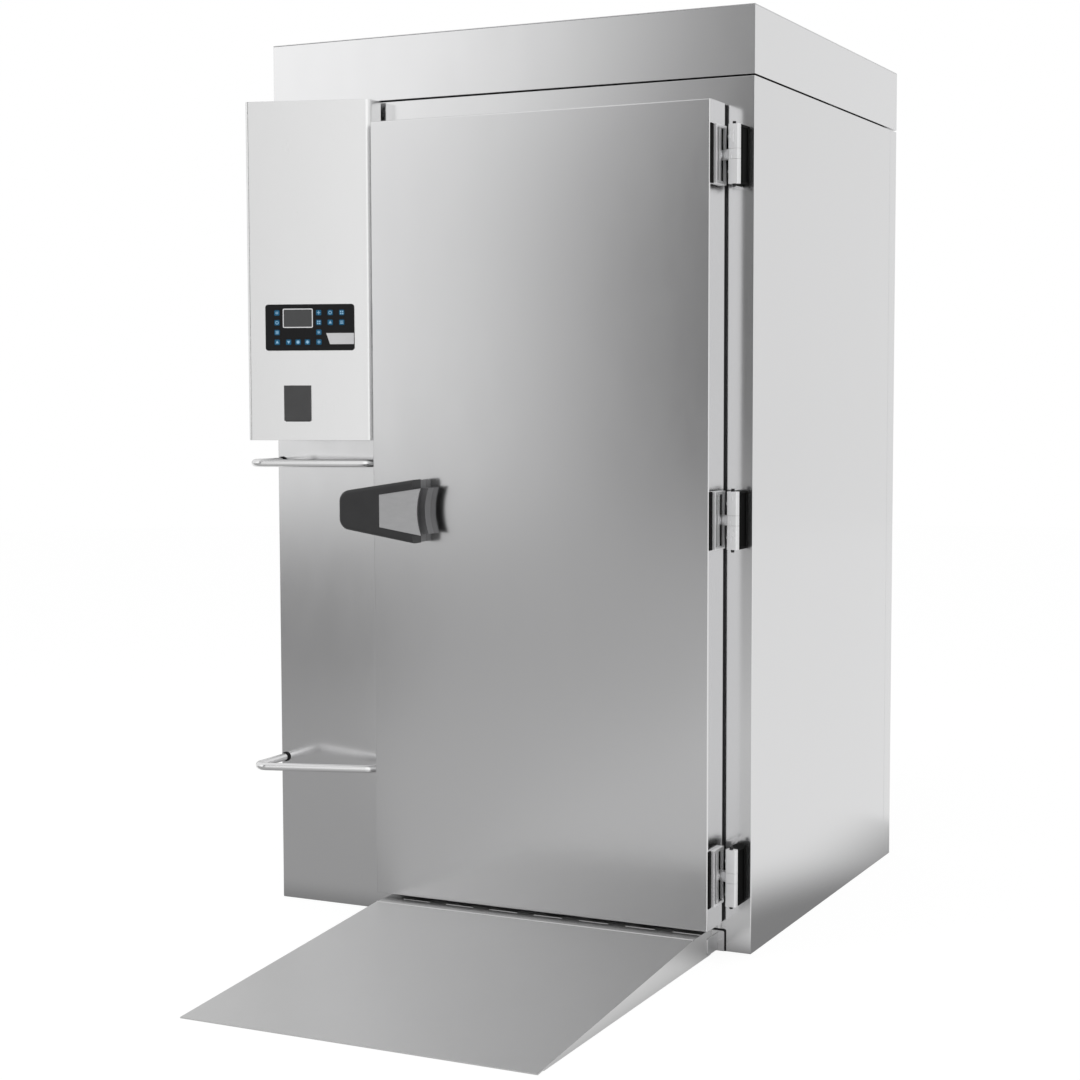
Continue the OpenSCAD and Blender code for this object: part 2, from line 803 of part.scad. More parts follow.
// Fins on rows of tubes with return bends, between two end plates on feet
module evaporator_coil() {
    fin_t = 1.5;
    row_pitch = coil_h / tube_rows;
    column = coil_d / 4;
    fin_pitch = coil_len / (fin_count - 1);
    mid_x = coil_x0 + coil_d / 2;
    plate_t = 3;
    tube_past = 6;
    color("silver") {
        for (i = [0:fin_count - 1])
            block(
                [coil_x0, coil_y0 + i * fin_pitch - fin_t / 2, coil_z0],
                [coil_x0 + coil_d, coil_y0 + i * fin_pitch + fin_t / 2, coil_z0 + coil_h]
            );
        for (y = [coil_y0 - 1 - plate_t, coil_y0 + coil_len + 1])
            block([inner_x0, y, floor_t], [coil_x0 + coil_d, y + plate_t, coil_z0 + coil_h]);
    }
    color("peru") for (row = [0:tube_rows - 1]) translate([mid_x, 0, coil_z0 + (row + 0.5) * row_pitch]) {
        for (x = [-column, column]) translate([x, coil_y0 - tube_past, 0])
            rotate([-90, 0, 0]) cylinder(h = coil_len + 2 * tube_past, r = tube_r);
        translate([0, coil_y0 - tube_past, 0]) rotate([0, 0, 180]) return_bend(column);
        translate([0, coil_y0 + coil_len + tube_past, 0]) return_bend(column);
    }
}

module return_bend(column) {
    rotate_extrude(angle = 180) translate([column, 0]) circle(tube_r);
}

// The tray under the coil
module drain_pan() {
    tray_h = 40;
    sheet = 2;
    margin = 3;
    low = [coil_x0, coil_y0 + margin, floor_t];
    high = [coil_x0 + coil_d + 20, coil_y0 + coil_len - margin, floor_t + tray_h];
    color("silver") difference() {
        block(low, high);
        block(low + [sheet, sheet, sheet], high + [-sheet, -sheet, 1]);
    }
}

// Bars with round edges that keep a trolley off the right wall
module wall_bumpers() {
    bar_t = 14;
    bar_h = 70;
    stand = 24;
    stand_r = 14;
    stand_in = 80;
    inset = 120;
    bar_len = inner_y1 - inner_y0 - 2 * inset;
    color("gainsboro") for (z = bumper_z) {
        translate([inner_x1 - stand - bar_t / 2, inner_y0 + inset, z]) rotate([-90, 0, 0])
            linear_extrude(bar_len) round_rect(bar_t, bar_h, 5);
        for (y = [inner_y0 + inset + stand_in, inner_y1 - inset - stand_in])
            translate([inner_x1 - stand, y, z]) rotate([0, 90, 0]) cylinder(h = stand, r = stand_r);
    }
}

// Suction and liquid pipes from the coil up through the roof and out of the cowl's back
module refrigerant_pipes() {
    color("peru") for (i = [0, 1]) translate([pipe_x[i], 0, 0]) {
        pipe_route = [
            [coil_z0 + coil_h - 60, coil_y0 + coil_len + 4 - pipe_y],
            [coil_z0 + coil_h - 60, 0],
            [pipe_z, 0],
            [pipe_z, back_y + pipe_stub - pipe_y]
        ];
        translate([0, pipe_y, 0]) rotate([0, -90, 0]) bent_bar(pipe_route, 2 * pipe_r[i], 2.2 * pipe_r[i]);
    }
}

module door_outer_skin() {
    color("silver") difference() {
        block([door_x0, door_front, door_z0], [door_x1, door_back, door_z1]);
        block(
            [door_x0 + skin_t, door_front + skin_t, door_z0 + skin_t],
            [door_x1 - skin_t, door_back + 1, door_z1 - skin_t]
        );
        guide_hole();
    }
}

module door_liner() {
    color("silver") difference() {
        block(
            [door_x0 + skin_t, door_back - skin_t, door_z0 + skin_t],
            [door_x1 - skin_t, door_back, door_z1 - skin_t]
        );
        guide_hole();
    }
}

module door_core() {
    color("khaki") difference() {
        block(
            [door_x0 + skin_t, door_front + skin_t, door_z0 + skin_t],
            [door_x1 - skin_t, door_back - skin_t, door_z1 - skin_t]
        );
        guide_hole();
    }
}

module guide_hole() {
    at_handle() translate([rod_x, -1, 0]) rotate([-90, 0, 0]) cylinder(h = door_t + 2, r = guide_r);
}

// The magnetic gasket on three sides and the wiper under the door
module door_gasket() {
    inset = 2;
    depth = gasket_gap - gasket_clear;
    wiper_t = 6;
    wiper_in = 30;
    color("dimgray") {
        difference() {
            block(
                [door_x0 + inset, door_back, door_z0],
                [door_x1 - inset, door_back + depth, door_z1 - inset]
            );
            block(
                [door_x0 + inset + gasket_w, door_back - 1, door_z0 - 1],
                [door_x1 - inset - gasket_w, front_y, door_z1 - inset - gasket_w]
            );
        }
        block(
            [open_x0 + 4, door_back - wiper_in, floor_t + gasket_clear],
            [open_x1 - 4, door_back - wiper_in + wiper_t, door_z0]
        );
    }
}

// Outline of the handle: a rounded narrow end, two arms and a hollowed grip end
module handle_outline() {
    end_r = 28;
    difference() {
        union() {
            hull() {
                for (s = [-1, 1])
                    translate([lever_x0 + end_r, s * (handle_narrow / 2 - end_r)]) circle(end_r);
                translate([lever_x1 - 1, -handle_wide / 2]) square([1, handle_wide]);
            }
            translate([lever_x1 - 1, -grip_half]) square([grip_past + 1, 2 * grip_half]);
        }
        grip_hollow();
    }
}

module grip_hollow() {
    hollow_r = 173;
    hollow_deep = 11.5;
    translate([lever_x1 + grip_past - hollow_deep + hollow_r, 0]) circle(hollow_r, $fn = 160);
}

// Room for the fingers behind the grip end, between the lever's arms
module finger_room() {
    pocket = 33;
    pocket_half = 58;
    translate([lever_x1 - pocket, -pocket_half]) square([pocket + 1, 2 * pocket_half]);
    translate([lever_x1, -grip_half - 1]) square([grip_past + 1, 2 * grip_half + 2]);
}

// The moving lever: it turns on the pin between the base's ears
module handle_lever() {
    ear_room_x = 19;
    nose_half = 20;
    color("black") {
        difference() {
            handle_plate(-handle_out, lever_back) handle_outline();
            handle_plate(-handle_out - 1, grip_t - handle_out) grip_outline();
            handle_plate(tongue_t - handle_out, lever_back + 1) finger_room();
            at_handle() for (s = [-1, 1])
                block(
                    [lever_pivot - ear_room_x, lever_pin_y - 12, s * ear_z - ear_t / 2 - 1.5],
                    [lever_pivot + ear_room_x, lever_back + 1, s * ear_z + ear_t / 2 + 1.5]
                );
            at_handle() translate([lever_pivot, lever_pin_y, 0])
                cylinder(h = 2 * lever_pin_half + 1, r = lever_pin_r + lever_fit, center = true);
        }
        at_handle() {
            block([nose_x - nose_r, lever_back - 1, -nose_half], [nose_x + nose_r, nose_y, nose_half]);
            translate([nose_x, nose_y, -nose_half]) cylinder(h = 2 * nose_half, r = nose_r);
        }
    }
}

module grip_outline() {
    difference() {
        polygon([
            [grip_x0, -grip_half_in],
            [lever_x1 + grip_past, -grip_half],
            [lever_x1 + grip_past + 1, -grip_half],
            [lever_x1 + grip_past + 1, grip_half],
            [lever_x1 + grip_past, grip_half],
            [grip_x0, grip_half_in]
        ]);
        grip_hollow();
    }
}

module grip_plate() {
    color("darkgray") handle_plate(-handle_out, grip_t - handle_out) grip_outline();
}

// The fixed base on the door, with two ears and the pivot pin
module handle_base() {
    edge = 4;
    front = lever_back + 0.5;
    slope = tan(lever_turn);
    back_at_pivot = lever_pin_y + lever_t / 2 / cos(lever_turn) + 0.6;
    boss_r = 8;
    color("gray") at_handle() {
        difference() {
            rotate([90, 0, 0]) linear_extrude(-front) intersection() {
                handle_outline();
                translate([edge, -handle_wide]) square([handle_len, 2 * handle_wide]);
            }
            linear_extrude(2 * handle_wide, center = true) polygon([
                [lever_pivot + 5, back_at_pivot - 5 * slope],
                [edge - 1, back_at_pivot + (lever_pivot - edge + 1) * slope],
                [edge - 1, front - 1],
                [lever_pivot + 5, front - 1]
            ]);
            translate([rod_x, 1, 0]) rotate([90, 0, 0]) cylinder(h = handle_out, r = rod_r + 0.5);
        }
        for (s = [-1, 1]) translate([lever_pivot, 0, s * ear_z - ear_t / 2]) {
            translate([0, lever_pin_y, 0]) cylinder(h = ear_t, r = boss_r);
            block([-boss_r, lever_pin_y, 0], [boss_r, front + 1, ear_t]);
        }
        translate([lever_pivot, lever_pin_y, 0])
            cylinder(h = 2 * lever_pin_half, r = lever_pin_r, center = true);
    }
}

// The rod that opens the door from inside by pushing the lever out
module release_rod() {
    tip_y = lever_back + rod_gap;
    knob_y = door_t + 40;
    knob_t = 16;
    knob_edge = 4;
    color("limegreen") at_handle() translate([rod_x, 0, 0]) rotate([-90, 0, 0]) {
        translate([0, 0, tip_y + rod_r]) cylinder(h = knob_y - tip_y - rod_r, r = rod_r);
        translate([0, 0, tip_y + rod_r]) sphere(rod_r);
        translate([0, 0, knob_y]) rotate_extrude() {
            square([knob_r - knob_edge, knob_t]);
            translate([0, knob_edge]) square([knob_r, knob_t - 2 * knob_edge]);
            for (z = [knob_edge, knob_t - knob_edge])
                translate([knob_r - knob_edge, z]) circle(knob_edge);
        }
    }
}

module release_guide() {
    flange_t = 6;
    flange_w = 8;
    color("gainsboro") at_handle() translate([rod_x, 0, 0]) rotate([-90, 0, 0]) difference() {
        union() {
            cylinder(h = door_t, r = guide_r);
            translate([0, 0, door_t]) cylinder(h = flange_t, r = guide_r + flange_w);
        }
        translate([0, 0, -1]) cylinder(h = door_t + flange_t + 2, r = rod_r + rod_fit);
    }
}

// The swinging air panel: a sheet with folded edges, two fan rings and pins at its back edge
module fan_panel() {
    face_x = fan_panel_x + fan_panel_t;
    y0 = fan_pivot_y - fan_panel_len;
    y1 = fan_pivot_y + 12;
    boss = 40;
    color("gainsboro") {
        difference() {
            block([fan_panel_x, y0, fan_panel_z0], [face_x, y1, fan_panel_z1]);
            block(
                [fan_panel_x - 1, y0 + fan_sheet, fan_panel_z0 + fan_sheet],
                [face_x - fan_sheet, y1 - fan_sheet, fan_panel_z1 - fan_sheet]
            );
            for (z = fan_z) translate([fan_panel_x - 1, fan_y, z])
                rotate([0, 90, 0]) cylinder(h = fan_panel_t + 2, r = ring_r);
        }
        for (z = fan_z) translate([rotor_x1 - rotor_len, fan_y, z]) rotate([0, 90, 0]) difference() {
            cylinder(h = face_x - rotor_x1 + rotor_len, r = ring_r + 3);
            translate([0, 0, -1]) cylinder(h = face_x - rotor_x1 + rotor_len + 2, r = ring_r);
        }
        for (z = [fan_panel_z0, fan_panel_z1 - boss])
            block([fan_panel_x, fan_pivot_y - 12, z], [face_x, y1, z + boss]);
        translate([fan_pivot_x, fan_pivot_y, floor_t - 12])
            cylinder(h = fan_panel_z0 - floor_t + 13, r = fan_pin_r);
        translate([fan_pivot_x, fan_pivot_y, fan_panel_z1 - 1])
            cylinder(h = open_top - fan_panel_z1 + 13, r = fan_pin_r);
    }
}

// Motors with their shafts, each on four arms fixed to the back of the fan panel
module fan_motors() {
    arm_w = 12;
    leg_r = ring_r + 6;
    sheet_x = fan_panel_x + fan_panel_t - fan_sheet;
    arm_x = motor_x1 - motor_len;
    color("dimgray") for (z = fan_z) translate([0, fan_y, z]) rotate([0, 90, 0]) {
        translate([0, 0, arm_x]) cylinder(h = motor_len, r = motor_r);
        translate([0, 0, motor_x1 - 1]) cylinder(h = rotor_len + 4, r = shaft_r);
        for (a = [45:90:315]) rotate([0, 0, a]) {
            block([motor_r - 6, -arm_w / 2, arm_x], [leg_r + 4, arm_w / 2, arm_x + 5]);
            block([leg_r, -arm_w / 2, arm_x], [leg_r + 4, arm_w / 2, sheet_x]);
        }
    }
}

// Guards on the chamber side of the fan panel: flat rings on six spokes
module fan_guards() {
    wire = 5;
    inner = 50;
    outer = ring_r + 12;
    rings = 5;
    color("gainsboro") for (z = fan_z)
        translate([fan_panel_x + fan_panel_t, fan_y, z]) rotate([0, 90, 0]) linear_extrude(wire) {
            for (r = [inner : (outer - inner) / (rings - 1) : outer + 0.1]) difference() {
                circle(r, $fn = 64);
                circle(r - wire, $fn = 64);
            }
            for (a = [0:60:300]) rotate(a) translate([inner - wire, -wire / 2])
                square([outer - inner + 1, wire]);
        }
}

// A fan: its hub and its twisted blades
module fan(z) {
    blade_len = rotor_len - 12;
    blade_t = 4;
    color("dimgray") translate([rotor_x1 - rotor_len, fan_y, z]) rotate([0, 90, 0]) difference() {
        union() {
            cylinder(h = rotor_len, r = hub_r);
            translate([0, 0, 6]) linear_extrude(blade_len, twist = -36, slices = 6, segments = 20)
                for (i = [0:fan_blades - 1]) rotate([0, 0, i * 360 / fan_blades])
                    translate([hub_r - 6, -blade_t / 2]) square([fan_r - hub_r + 6, blade_t]);
        }
        translate([0, 0, -1]) cylinder(h = rotor_len + 2, r = shaft_r + shaft_fit);
    }
}

module lower_fan() {
    fan(fan_z[0]);
}

module upper_fan() {
    fan(fan_z[1]);
}

floor_panel();
left_wall();
right_wall();
back_wall();
roof_panel();
front_left_panel();
hinge_jamb();
front_header();
top_cowl();
cowl_lid();
ramp();
ramp_brackets();
hinge_base_blocks();
hinge_frame_knuckles();
hinge_pins();
strike_block();
lower_guard_rail();
upper_guard_rail();
rail_grommets();
control_cover();
control_backplate();
key_panel();
display_window();
controller_board();
printer_body();
printer_flap();
evaporator_coil();
drain_pan();
wall_bumpers();
refrigerant_pipes();
door_outer_skin();
door_liner();
door_core();
door_gasket();
hinge_door_leaves();
handle_base();
handle_lever();
grip_plate();
release_rod();
release_guide();
fan_panel();
fan_motors();
fan_guards();
lower_fan();
upper_fan();
panel_key(1);  // key_1
panel_key(2);  // key_2
panel_key(3);  // key_3
panel_key(4);  // key_4
panel_key(5);  // key_5
panel_key(6);  // key_6
panel_key(7);  // key_7
panel_key(8);  // key_8
panel_key(9);  // key_9
panel_key(10);  // key_10
panel_key(11);  // key_11
panel_key(12);  // key_12
panel_key(13);  // key_13
panel_key(14);  // key_14
panel_key(15);  // key_15
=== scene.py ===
import math

import bmesh
import bpy
from mathutils import Matrix, Vector


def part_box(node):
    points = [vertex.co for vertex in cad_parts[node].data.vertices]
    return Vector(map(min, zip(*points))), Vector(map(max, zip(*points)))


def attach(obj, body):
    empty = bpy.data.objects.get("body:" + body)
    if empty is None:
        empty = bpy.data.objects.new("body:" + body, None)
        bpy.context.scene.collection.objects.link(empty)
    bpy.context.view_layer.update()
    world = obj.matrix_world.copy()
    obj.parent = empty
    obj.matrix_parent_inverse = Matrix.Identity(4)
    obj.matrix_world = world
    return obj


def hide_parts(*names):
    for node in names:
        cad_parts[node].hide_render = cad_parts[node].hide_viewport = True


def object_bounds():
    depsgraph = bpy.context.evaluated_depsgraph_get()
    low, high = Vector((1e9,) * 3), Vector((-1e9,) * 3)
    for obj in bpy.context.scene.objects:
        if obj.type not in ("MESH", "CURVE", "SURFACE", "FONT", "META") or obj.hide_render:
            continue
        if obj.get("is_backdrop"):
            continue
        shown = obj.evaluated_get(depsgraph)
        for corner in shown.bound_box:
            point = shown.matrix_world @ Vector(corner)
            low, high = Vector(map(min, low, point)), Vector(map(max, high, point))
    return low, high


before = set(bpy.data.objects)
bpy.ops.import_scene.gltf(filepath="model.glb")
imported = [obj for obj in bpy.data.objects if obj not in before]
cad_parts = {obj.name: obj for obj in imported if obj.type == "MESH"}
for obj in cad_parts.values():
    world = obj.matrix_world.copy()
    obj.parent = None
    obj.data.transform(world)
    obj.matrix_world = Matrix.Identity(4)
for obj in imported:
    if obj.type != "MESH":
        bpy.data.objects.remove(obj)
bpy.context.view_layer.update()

# ---- Cabinet shell ----
# The front frame and the two side walls, in brushed stainless sheet on foam. One sheet runs
# round the doorway with no joint in its face and folds back into the sides at tight bends.
SHEET_BEND = 0.0022


def deselect():
    """Leaves edit mode with nothing selected."""
    if bpy.context.object and bpy.context.object.mode != "OBJECT":
        bpy.ops.object.mode_set(mode="OBJECT")
    bpy.ops.object.select_all(action="DESELECT")


def only(piece):
    """Makes one piece the only selected and active one."""
    deselect()
    piece.hide_set(False)
    piece.select_set(True)
    bpy.context.view_layer.objects.active = piece


def settle(piece):
    """Moves a piece's place, turn and scale into its mesh."""
    only(piece)
    bpy.ops.object.transform_apply(location=True, rotation=True, scale=True)
    return piece


def block(name, low, high):
    """A box between two corners."""
    deselect()
    low, high = Vector(low), Vector(high)
    bpy.ops.mesh.primitive_cube_add(size=1, location=(low + high) / 2)
    piece = bpy.context.object
    piece.name = name
    piece.scale = high - low
    return settle(piece)


def edit(piece, kind="FACE"):
    """Opens a piece in edit mode, in face, edge or vertex mode, with nothing selected."""
    only(piece)
    bpy.ops.object.mode_set(mode="EDIT")
    bpy.ops.mesh.select_mode(type=kind)
    bpy.ops.mesh.select_all(action="DESELECT")
    return bmesh.from_edit_mesh(piece.data)


def pick_faces(piece, test):
    """Selects, in edit mode, each face whose middle and normal pass the test."""
    mesh = edit(piece)
    for face in mesh.faces:
        face.select = bool(test(face.calc_center_median(), face.normal))
    bmesh.update_edit_mesh(piece.data)


def push(step):
    """Extrudes the selected faces along a step."""
    bpy.ops.mesh.extrude_region_move(TRANSFORM_OT_translate={"value": step})


def cut(piece, place, normal, clear_outer=False):
    """Cuts a whole mesh with a plane and can drop what lies beyond it."""
    edit(piece)
    bpy.ops.mesh.select_all(action="SELECT")
    bpy.ops.mesh.bisect(
        plane_co=place, plane_no=normal, clear_outer=clear_outer, use_fill=clear_outer
    )
    bpy.ops.object.mode_set(mode="OBJECT")


def smooth(piece, angle=35):
    """Shades a piece smooth except at its sharp corners, with its broad faces kept flat."""
    only(piece)
    bpy.ops.object.shade_smooth_by_angle(angle=math.radians(angle))
    flat = piece.modifiers.new("flat", "WEIGHTED_NORMAL")
    flat.keep_sharp = True
    bpy.ops.object.modifier_apply(modifier=flat.name)
    return piece


def soften(piece, width, segments=2, angle=40):
    """Rounds every sharp edge of a piece and smooths it."""
    only(piece)
    edge = piece.modifiers.new("edges", "BEVEL")
    edge.width = width
    edge.segments = segments
    edge.limit_method = "ANGLE"
    edge.angle_limit = math.radians(angle)
    bpy.ops.object.modifier_apply(modifier=edge.name)
    return smooth(piece)


def carve(piece, *tools, mode="DIFFERENCE"):
    """Cuts tools out of a piece, or joins them to it, and removes them."""
    for tool in tools:
        only(piece)
        step = piece.modifiers.new("carve", "BOOLEAN")
        step.operation = mode
        step.solver = "EXACT"
        step.object = tool
        bpy.ops.object.modifier_apply(modifier=step.name)
        bpy.data.objects.remove(tool)
    return piece


def fit(piece, finish, body, slot, *stands_for):
    """Gives a piece its finish and its body, and hides the CAD nodes it stands for. The slot is not used.
    """
    piece.data.materials.clear()
    piece.data.materials.append(finish)
    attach(piece, body)
    if stands_for:
        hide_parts(*stands_for)
    return piece


class Shader:
    """A shader socket whose arithmetic adds Math nodes to its material."""

    def __init__(self, tree, socket=None):
        self.tree = tree
        self.socket = socket

    def node(self, kind, settings=None, inputs=None, output=0):
        """Adds a node: its settings first, then the values or links of its sockets."""
        made = self.tree.nodes.new(kind)
        for name, value in (settings or {}).items():
            if name == "stops":
                ramp = made.color_ramp
                while len(ramp.elements) < len(value):
                    ramp.elements.new(0.5)
                for element, (place, colour) in zip(ramp.elements, value):
                    element.position = place
                    element.color = colour if len(colour) == 4 else (*colour, 1)
            else:
                setattr(made, name, value)
        for name, value in (inputs or {}).items():
            if isinstance(value, Shader):
                self.tree.links.new(value.socket, made.inputs[name])
            else:
                made.inputs[name].default_value = value
        return Shader(self.tree, made.outputs[output])

    def math(self, operation, *values):
        """A Math node over sockets and plain numbers."""
        return self.node("ShaderNodeMath", {"operation": operation}, dict(enumerate(values)))

    def __add__(self, other):
        return self.math("ADD", self, other)

    def __sub__(self, other):
        return self.math("SUBTRACT", self, other)

    def __rsub__(self, other):
        return self.math("SUBTRACT", other, self)

    def __mul__(self, other):
        return self.math("MULTIPLY", self, other)

    def smoothstep(self, low, high):
        """0 below low, 1 above high, with a soft change between."""
        return self.node(
            "ShaderNodeMapRange",
            {"interpolation_type": "SMOOTHSTEP"},
            {"Value": self, "From Min": low, "From Max": high},
        )

    def tone_curve(self, levels):
        """A level that follows a value through given pairs of value and level."""
        start, span = levels[0][0], levels[-1][0] - levels[0][0]
        stops = [((place - start) / span, (level, level, level)) for place, level in levels]
        return self.node("ShaderNodeValToRGB", {"stops": stops}, {"Fac": (self - start) * (1 / span)})

    def place(self):
        """The object coordinates of the surface, which are its place in the frame."""
        return self.node("ShaderNodeTexCoord", output=3)

    def axes(self):
        """The three object coordinates as separate numbers."""
        split = self.node("ShaderNodeSeparateXYZ", inputs={"Vector": self.place()})
        outputs = split.socket.node.outputs
        return [Shader(self.tree, outputs[i]) for i in range(3)]

    def noise(self, scale, detail=3, stretch=(1, 1, 1), roughness=0.5):
        """Noise over the object coordinates, stretched along an axis."""
        mapped = self.node("ShaderNodeMapping", inputs={"Vector": self.place(), "Scale": stretch})
        return self.node(
            "ShaderNodeTexNoise",
            inputs={"Vector": mapped, "Scale": scale, "Detail": detail, "Roughness": roughness},
        )

    def mix(self, factor, first, second):
        """A colour between two colours."""
        first = first if isinstance(first, Shader) else (*first, 1)
        second = second if isinstance(second, Shader) else (*second, 1)
        return self.node(
            "ShaderNodeMix", {"data_type": "RGBA"}, {0: factor, 6: first, 7: second}, output=2
        )

    def bump(self, height, strength, distance):
        """A normal that follows a height, for fine relief."""
        return self.node(
            "ShaderNodeBump", inputs={"Height": height, "Strength": strength, "Distance": distance}
        )


def material(name, **sockets):
    """A named material: returns it and a function that sets its surface's sockets."""
    made = bpy.data.materials.new(name)
    made.use_nodes = True
    surface = made.node_tree.nodes["Principled BSDF"]
    shader = Shader(made.node_tree)

    def dress(**links):
        for socket, value in links.items():
            socket = surface.inputs[socket.replace("_", " ")]
            if isinstance(value, Shader):
                made.node_tree.links.new(value.socket, socket)
            else:
                socket.default_value = (*value, 1) if isinstance(value, tuple) else value

    dress(**sockets)
    return made, shader, dress


def stainless(name, colour, rough, grain=(1, 1, 0.015), depth=0.000006, spread=0.022, edge=0.02):
    """Brushed stainless steel: fine lines along one axis, slow stains and worn bright patches."""
    made, shader, dress = material(name, Metallic=1.0)
    lines = shader.noise(1500, 2, grain)
    drift = shader.noise(2.2, 3)
    smear = shader.noise(14, 4, (1, 1, 0.4))
    tone = lines * spread + drift * edge + smear * (edge * 0.5)
    tone = tone - (spread + edge * 1.5) / 2
    dark = tuple(c * 0.75 for c in colour)
    light = tuple(min(1, c * 1.25) for c in colour)
    dress(
        Base_Color=shader.mix(tone * 2 + 0.5, dark, light),
        Roughness=lines * 0.05 + smear * 0.04 + (rough - 0.045),
        Normal=shader.bump(lines, 0.3, depth),
    )
    return made


wall_steel = stainless("wall_steel", (0.70, 0.70, 0.705), 0.165, (1, 1, 0.012), 0.000002, 0.012, 0.016)

low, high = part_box("left_wall")[0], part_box("right_wall")[1]
chamber_x = (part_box("left_wall")[1].x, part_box("right_wall")[0].x)
chamber_y = (low.y, high.y)
frame_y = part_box("hinge_jamb")[0].y
doorway_x = (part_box("front_left_panel")[1].x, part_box("hinge_jamb")[0].x)
cowl_low, cowl_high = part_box("top_cowl")
shell = block("cabinet_shell", (low.x, frame_y, 0), (high.x, chamber_y[0], cowl_low.z))
carve(shell, block("doorway", (doorway_x[0], -1, -1), (doorway_x[1], 0, high.z)))
for x in chamber_x:
    cut(shell, (x, 0, 0), (1, 0, 0))
pick_faces(shell, lambda c, n: n.y > 0.9 and not chamber_x[0] < c.x < chamber_x[1])
push((0, chamber_y[1] - chamber_y[0], 0))
deselect()
frame_nodes = ("left_wall", "right_wall", "front_left_panel", "hinge_jamb", "front_header")
fit(soften(shell, SHEET_BEND, 3), wall_steel, "cabinet", "cabinet_steel", *frame_nodes)

# ---- Back, roof and floor of the cabinet ----
# Insulated panels skinned in the same brushed stainless sheet. The floor is a flush tread
# plate in the doorway, and the roof carries the fan panel's pivot.
low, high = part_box("back_wall")
back_shell = block("back_shell", (low.x, low.y, 0), (high.x, high.y, cowl_low.z))
pick_faces(back_shell, lambda c, n: n.y > 0.9)
bpy.ops.mesh.inset(thickness=0.03, depth=0)
bpy.ops.mesh.inset(thickness=0.006, depth=-0.0025)
fit(soften(back_shell, SHEET_BEND, 2, 25), wall_steel, "cabinet", "cabinet_steel", "back_wall")

low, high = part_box("roof_panel")
pivot = Vector((-0.311, 0.520, 0))
PIVOT_HOLE, PIVOT_DEPTH = 0.00705, 0.014
SUCTION_PIPE = (-0.602, 0.490, 0.014)
LIQUID_PIPE = (-0.542, 0.490, 0.008)


def rod(name, start, end, radius, sides=32):
    """A round bar from one point to another."""
    deselect()
    start, end = Vector(start), Vector(end)
    bpy.ops.mesh.primitive_cylinder_add(
        vertices=sides, radius=radius, depth=(end - start).length, location=(start + end) / 2
    )
    piece = bpy.context.object
    piece.name = name
    piece.rotation_mode = "QUATERNION"
    piece.rotation_quaternion = (end - start).to_track_quat("Z", "Y")
    return settle(piece)


def upright_hole(piece, x, y, z0, z1, radius):
    """Bores a round hole from one height to another."""
    carve(piece, rod("hole", (x, y, z0), (x, y, z1), radius, 24))


roof = block(
    "roof_liner", (chamber_x[0], chamber_y[0], low.z), (chamber_x[1], chamber_y[1], high.z)
)
for x, y, r in (SUCTION_PIPE, LIQUID_PIPE):
    upright_hole(roof, x, y, low.z - 0.01, high.z + 0.01, r)
upright_hole(roof, pivot.x, pivot.y, low.z - 0.001, low.z + PIVOT_DEPTH, PIVOT_HOLE)
fit(soften(roof, 0.0015, 2), wall_steel, "cabinet", "cabinet_steel", "roof_panel")

floor_steel = stainless("floor_steel", (0.62, 0.62, 0.62), 0.36, (0.02, 1, 1), 0.00002, 0.04)
low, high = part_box("floor_panel")
tread = block(
    "floor_tread", (chamber_x[0], chamber_y[0], low.z), (chamber_x[1], chamber_y[1], high.z)
)
for x in doorway_x:
    cut(tread, (x, 0, 0), (1, 0, 0))
pick_faces(tread, lambda c, n: n.y < -0.9 and doorway_x[0] < c.x < doorway_x[1])
push((0, low.y - chamber_y[0], 0))
deselect()
upright_hole(tread, pivot.x, pivot.y, high.z - PIVOT_DEPTH, high.z + 0.01, PIVOT_HOLE)
fit(soften(tread, 0.0015, 2), floor_steel, "cabinet", "cabinet_steel", "floor_panel")

# ---- Cowl ----
# A skirt of folded stainless sheet round the top with inward flanges, and a lid in it.
# It stands a hair above the wall panels, which leaves the dark seam under it.
COWL_SHEET = 0.003
COWL_SEAM = 0.004
COWL_FLANGE = 0.025
PIPE_Z = 2.294
CABLE_HOLE = (0.508, 0, 0.0125)
cowl_steel = stainless("cowl_steel", (0.73, 0.73, 0.735), 0.18, (0.015, 1, 1), 0.000002, 0.012, 0.016)


def thicken(piece, thickness, offset=-1):
    """Gives an open skin the thickness of its sheet, inward unless another offset is given."""
    only(piece)
    wall = piece.modifiers.new("sheet", "SOLIDIFY")
    wall.thickness = thickness
    wall.offset = offset
    bpy.ops.object.modifier_apply(modifier=wall.name)


cowl = block("cowl_skirt", (cowl_low.x, cowl_low.y, cowl_low.z + COWL_SEAM), cowl_high)
pick_faces(cowl, lambda c, n: n.z > 0.9)
bpy.ops.mesh.delete(type="FACE")
deselect()
pick_faces(cowl, lambda c, n: n.z < -0.9)
bpy.ops.mesh.inset(thickness=COWL_FLANGE)
bpy.ops.mesh.delete(type="FACE")
thicken(cowl, COWL_SHEET)
for x, y, r in (SUCTION_PIPE, LIQUID_PIPE, CABLE_HOLE):
    carve(cowl, rod("hole", (x, cowl_high.y - 0.03, PIPE_Z), (x, cowl_high.y + 0.03, PIPE_Z), r, 24))
fit(soften(cowl, 0.0018, 3), cowl_steel, "cabinet", "cabinet_steel", "top_cowl")

low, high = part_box("cowl_lid")
LID_LIP = 0.017
lid = block("cowl_lid_sheet", (low.x, low.y, high.z - COWL_SHEET), high)
pick_faces(lid, lambda c, n: n.z < -0.9)
bpy.ops.mesh.inset(thickness=COWL_SHEET + 0.0004)
bpy.ops.mesh.inset(thickness=COWL_SHEET, use_select_inset=True)
push((0, 0, -LID_LIP))
deselect()
fit(soften(lid, 0.0012, 2), cowl_steel, "cabinet", "cabinet_steel", "cowl_lid")

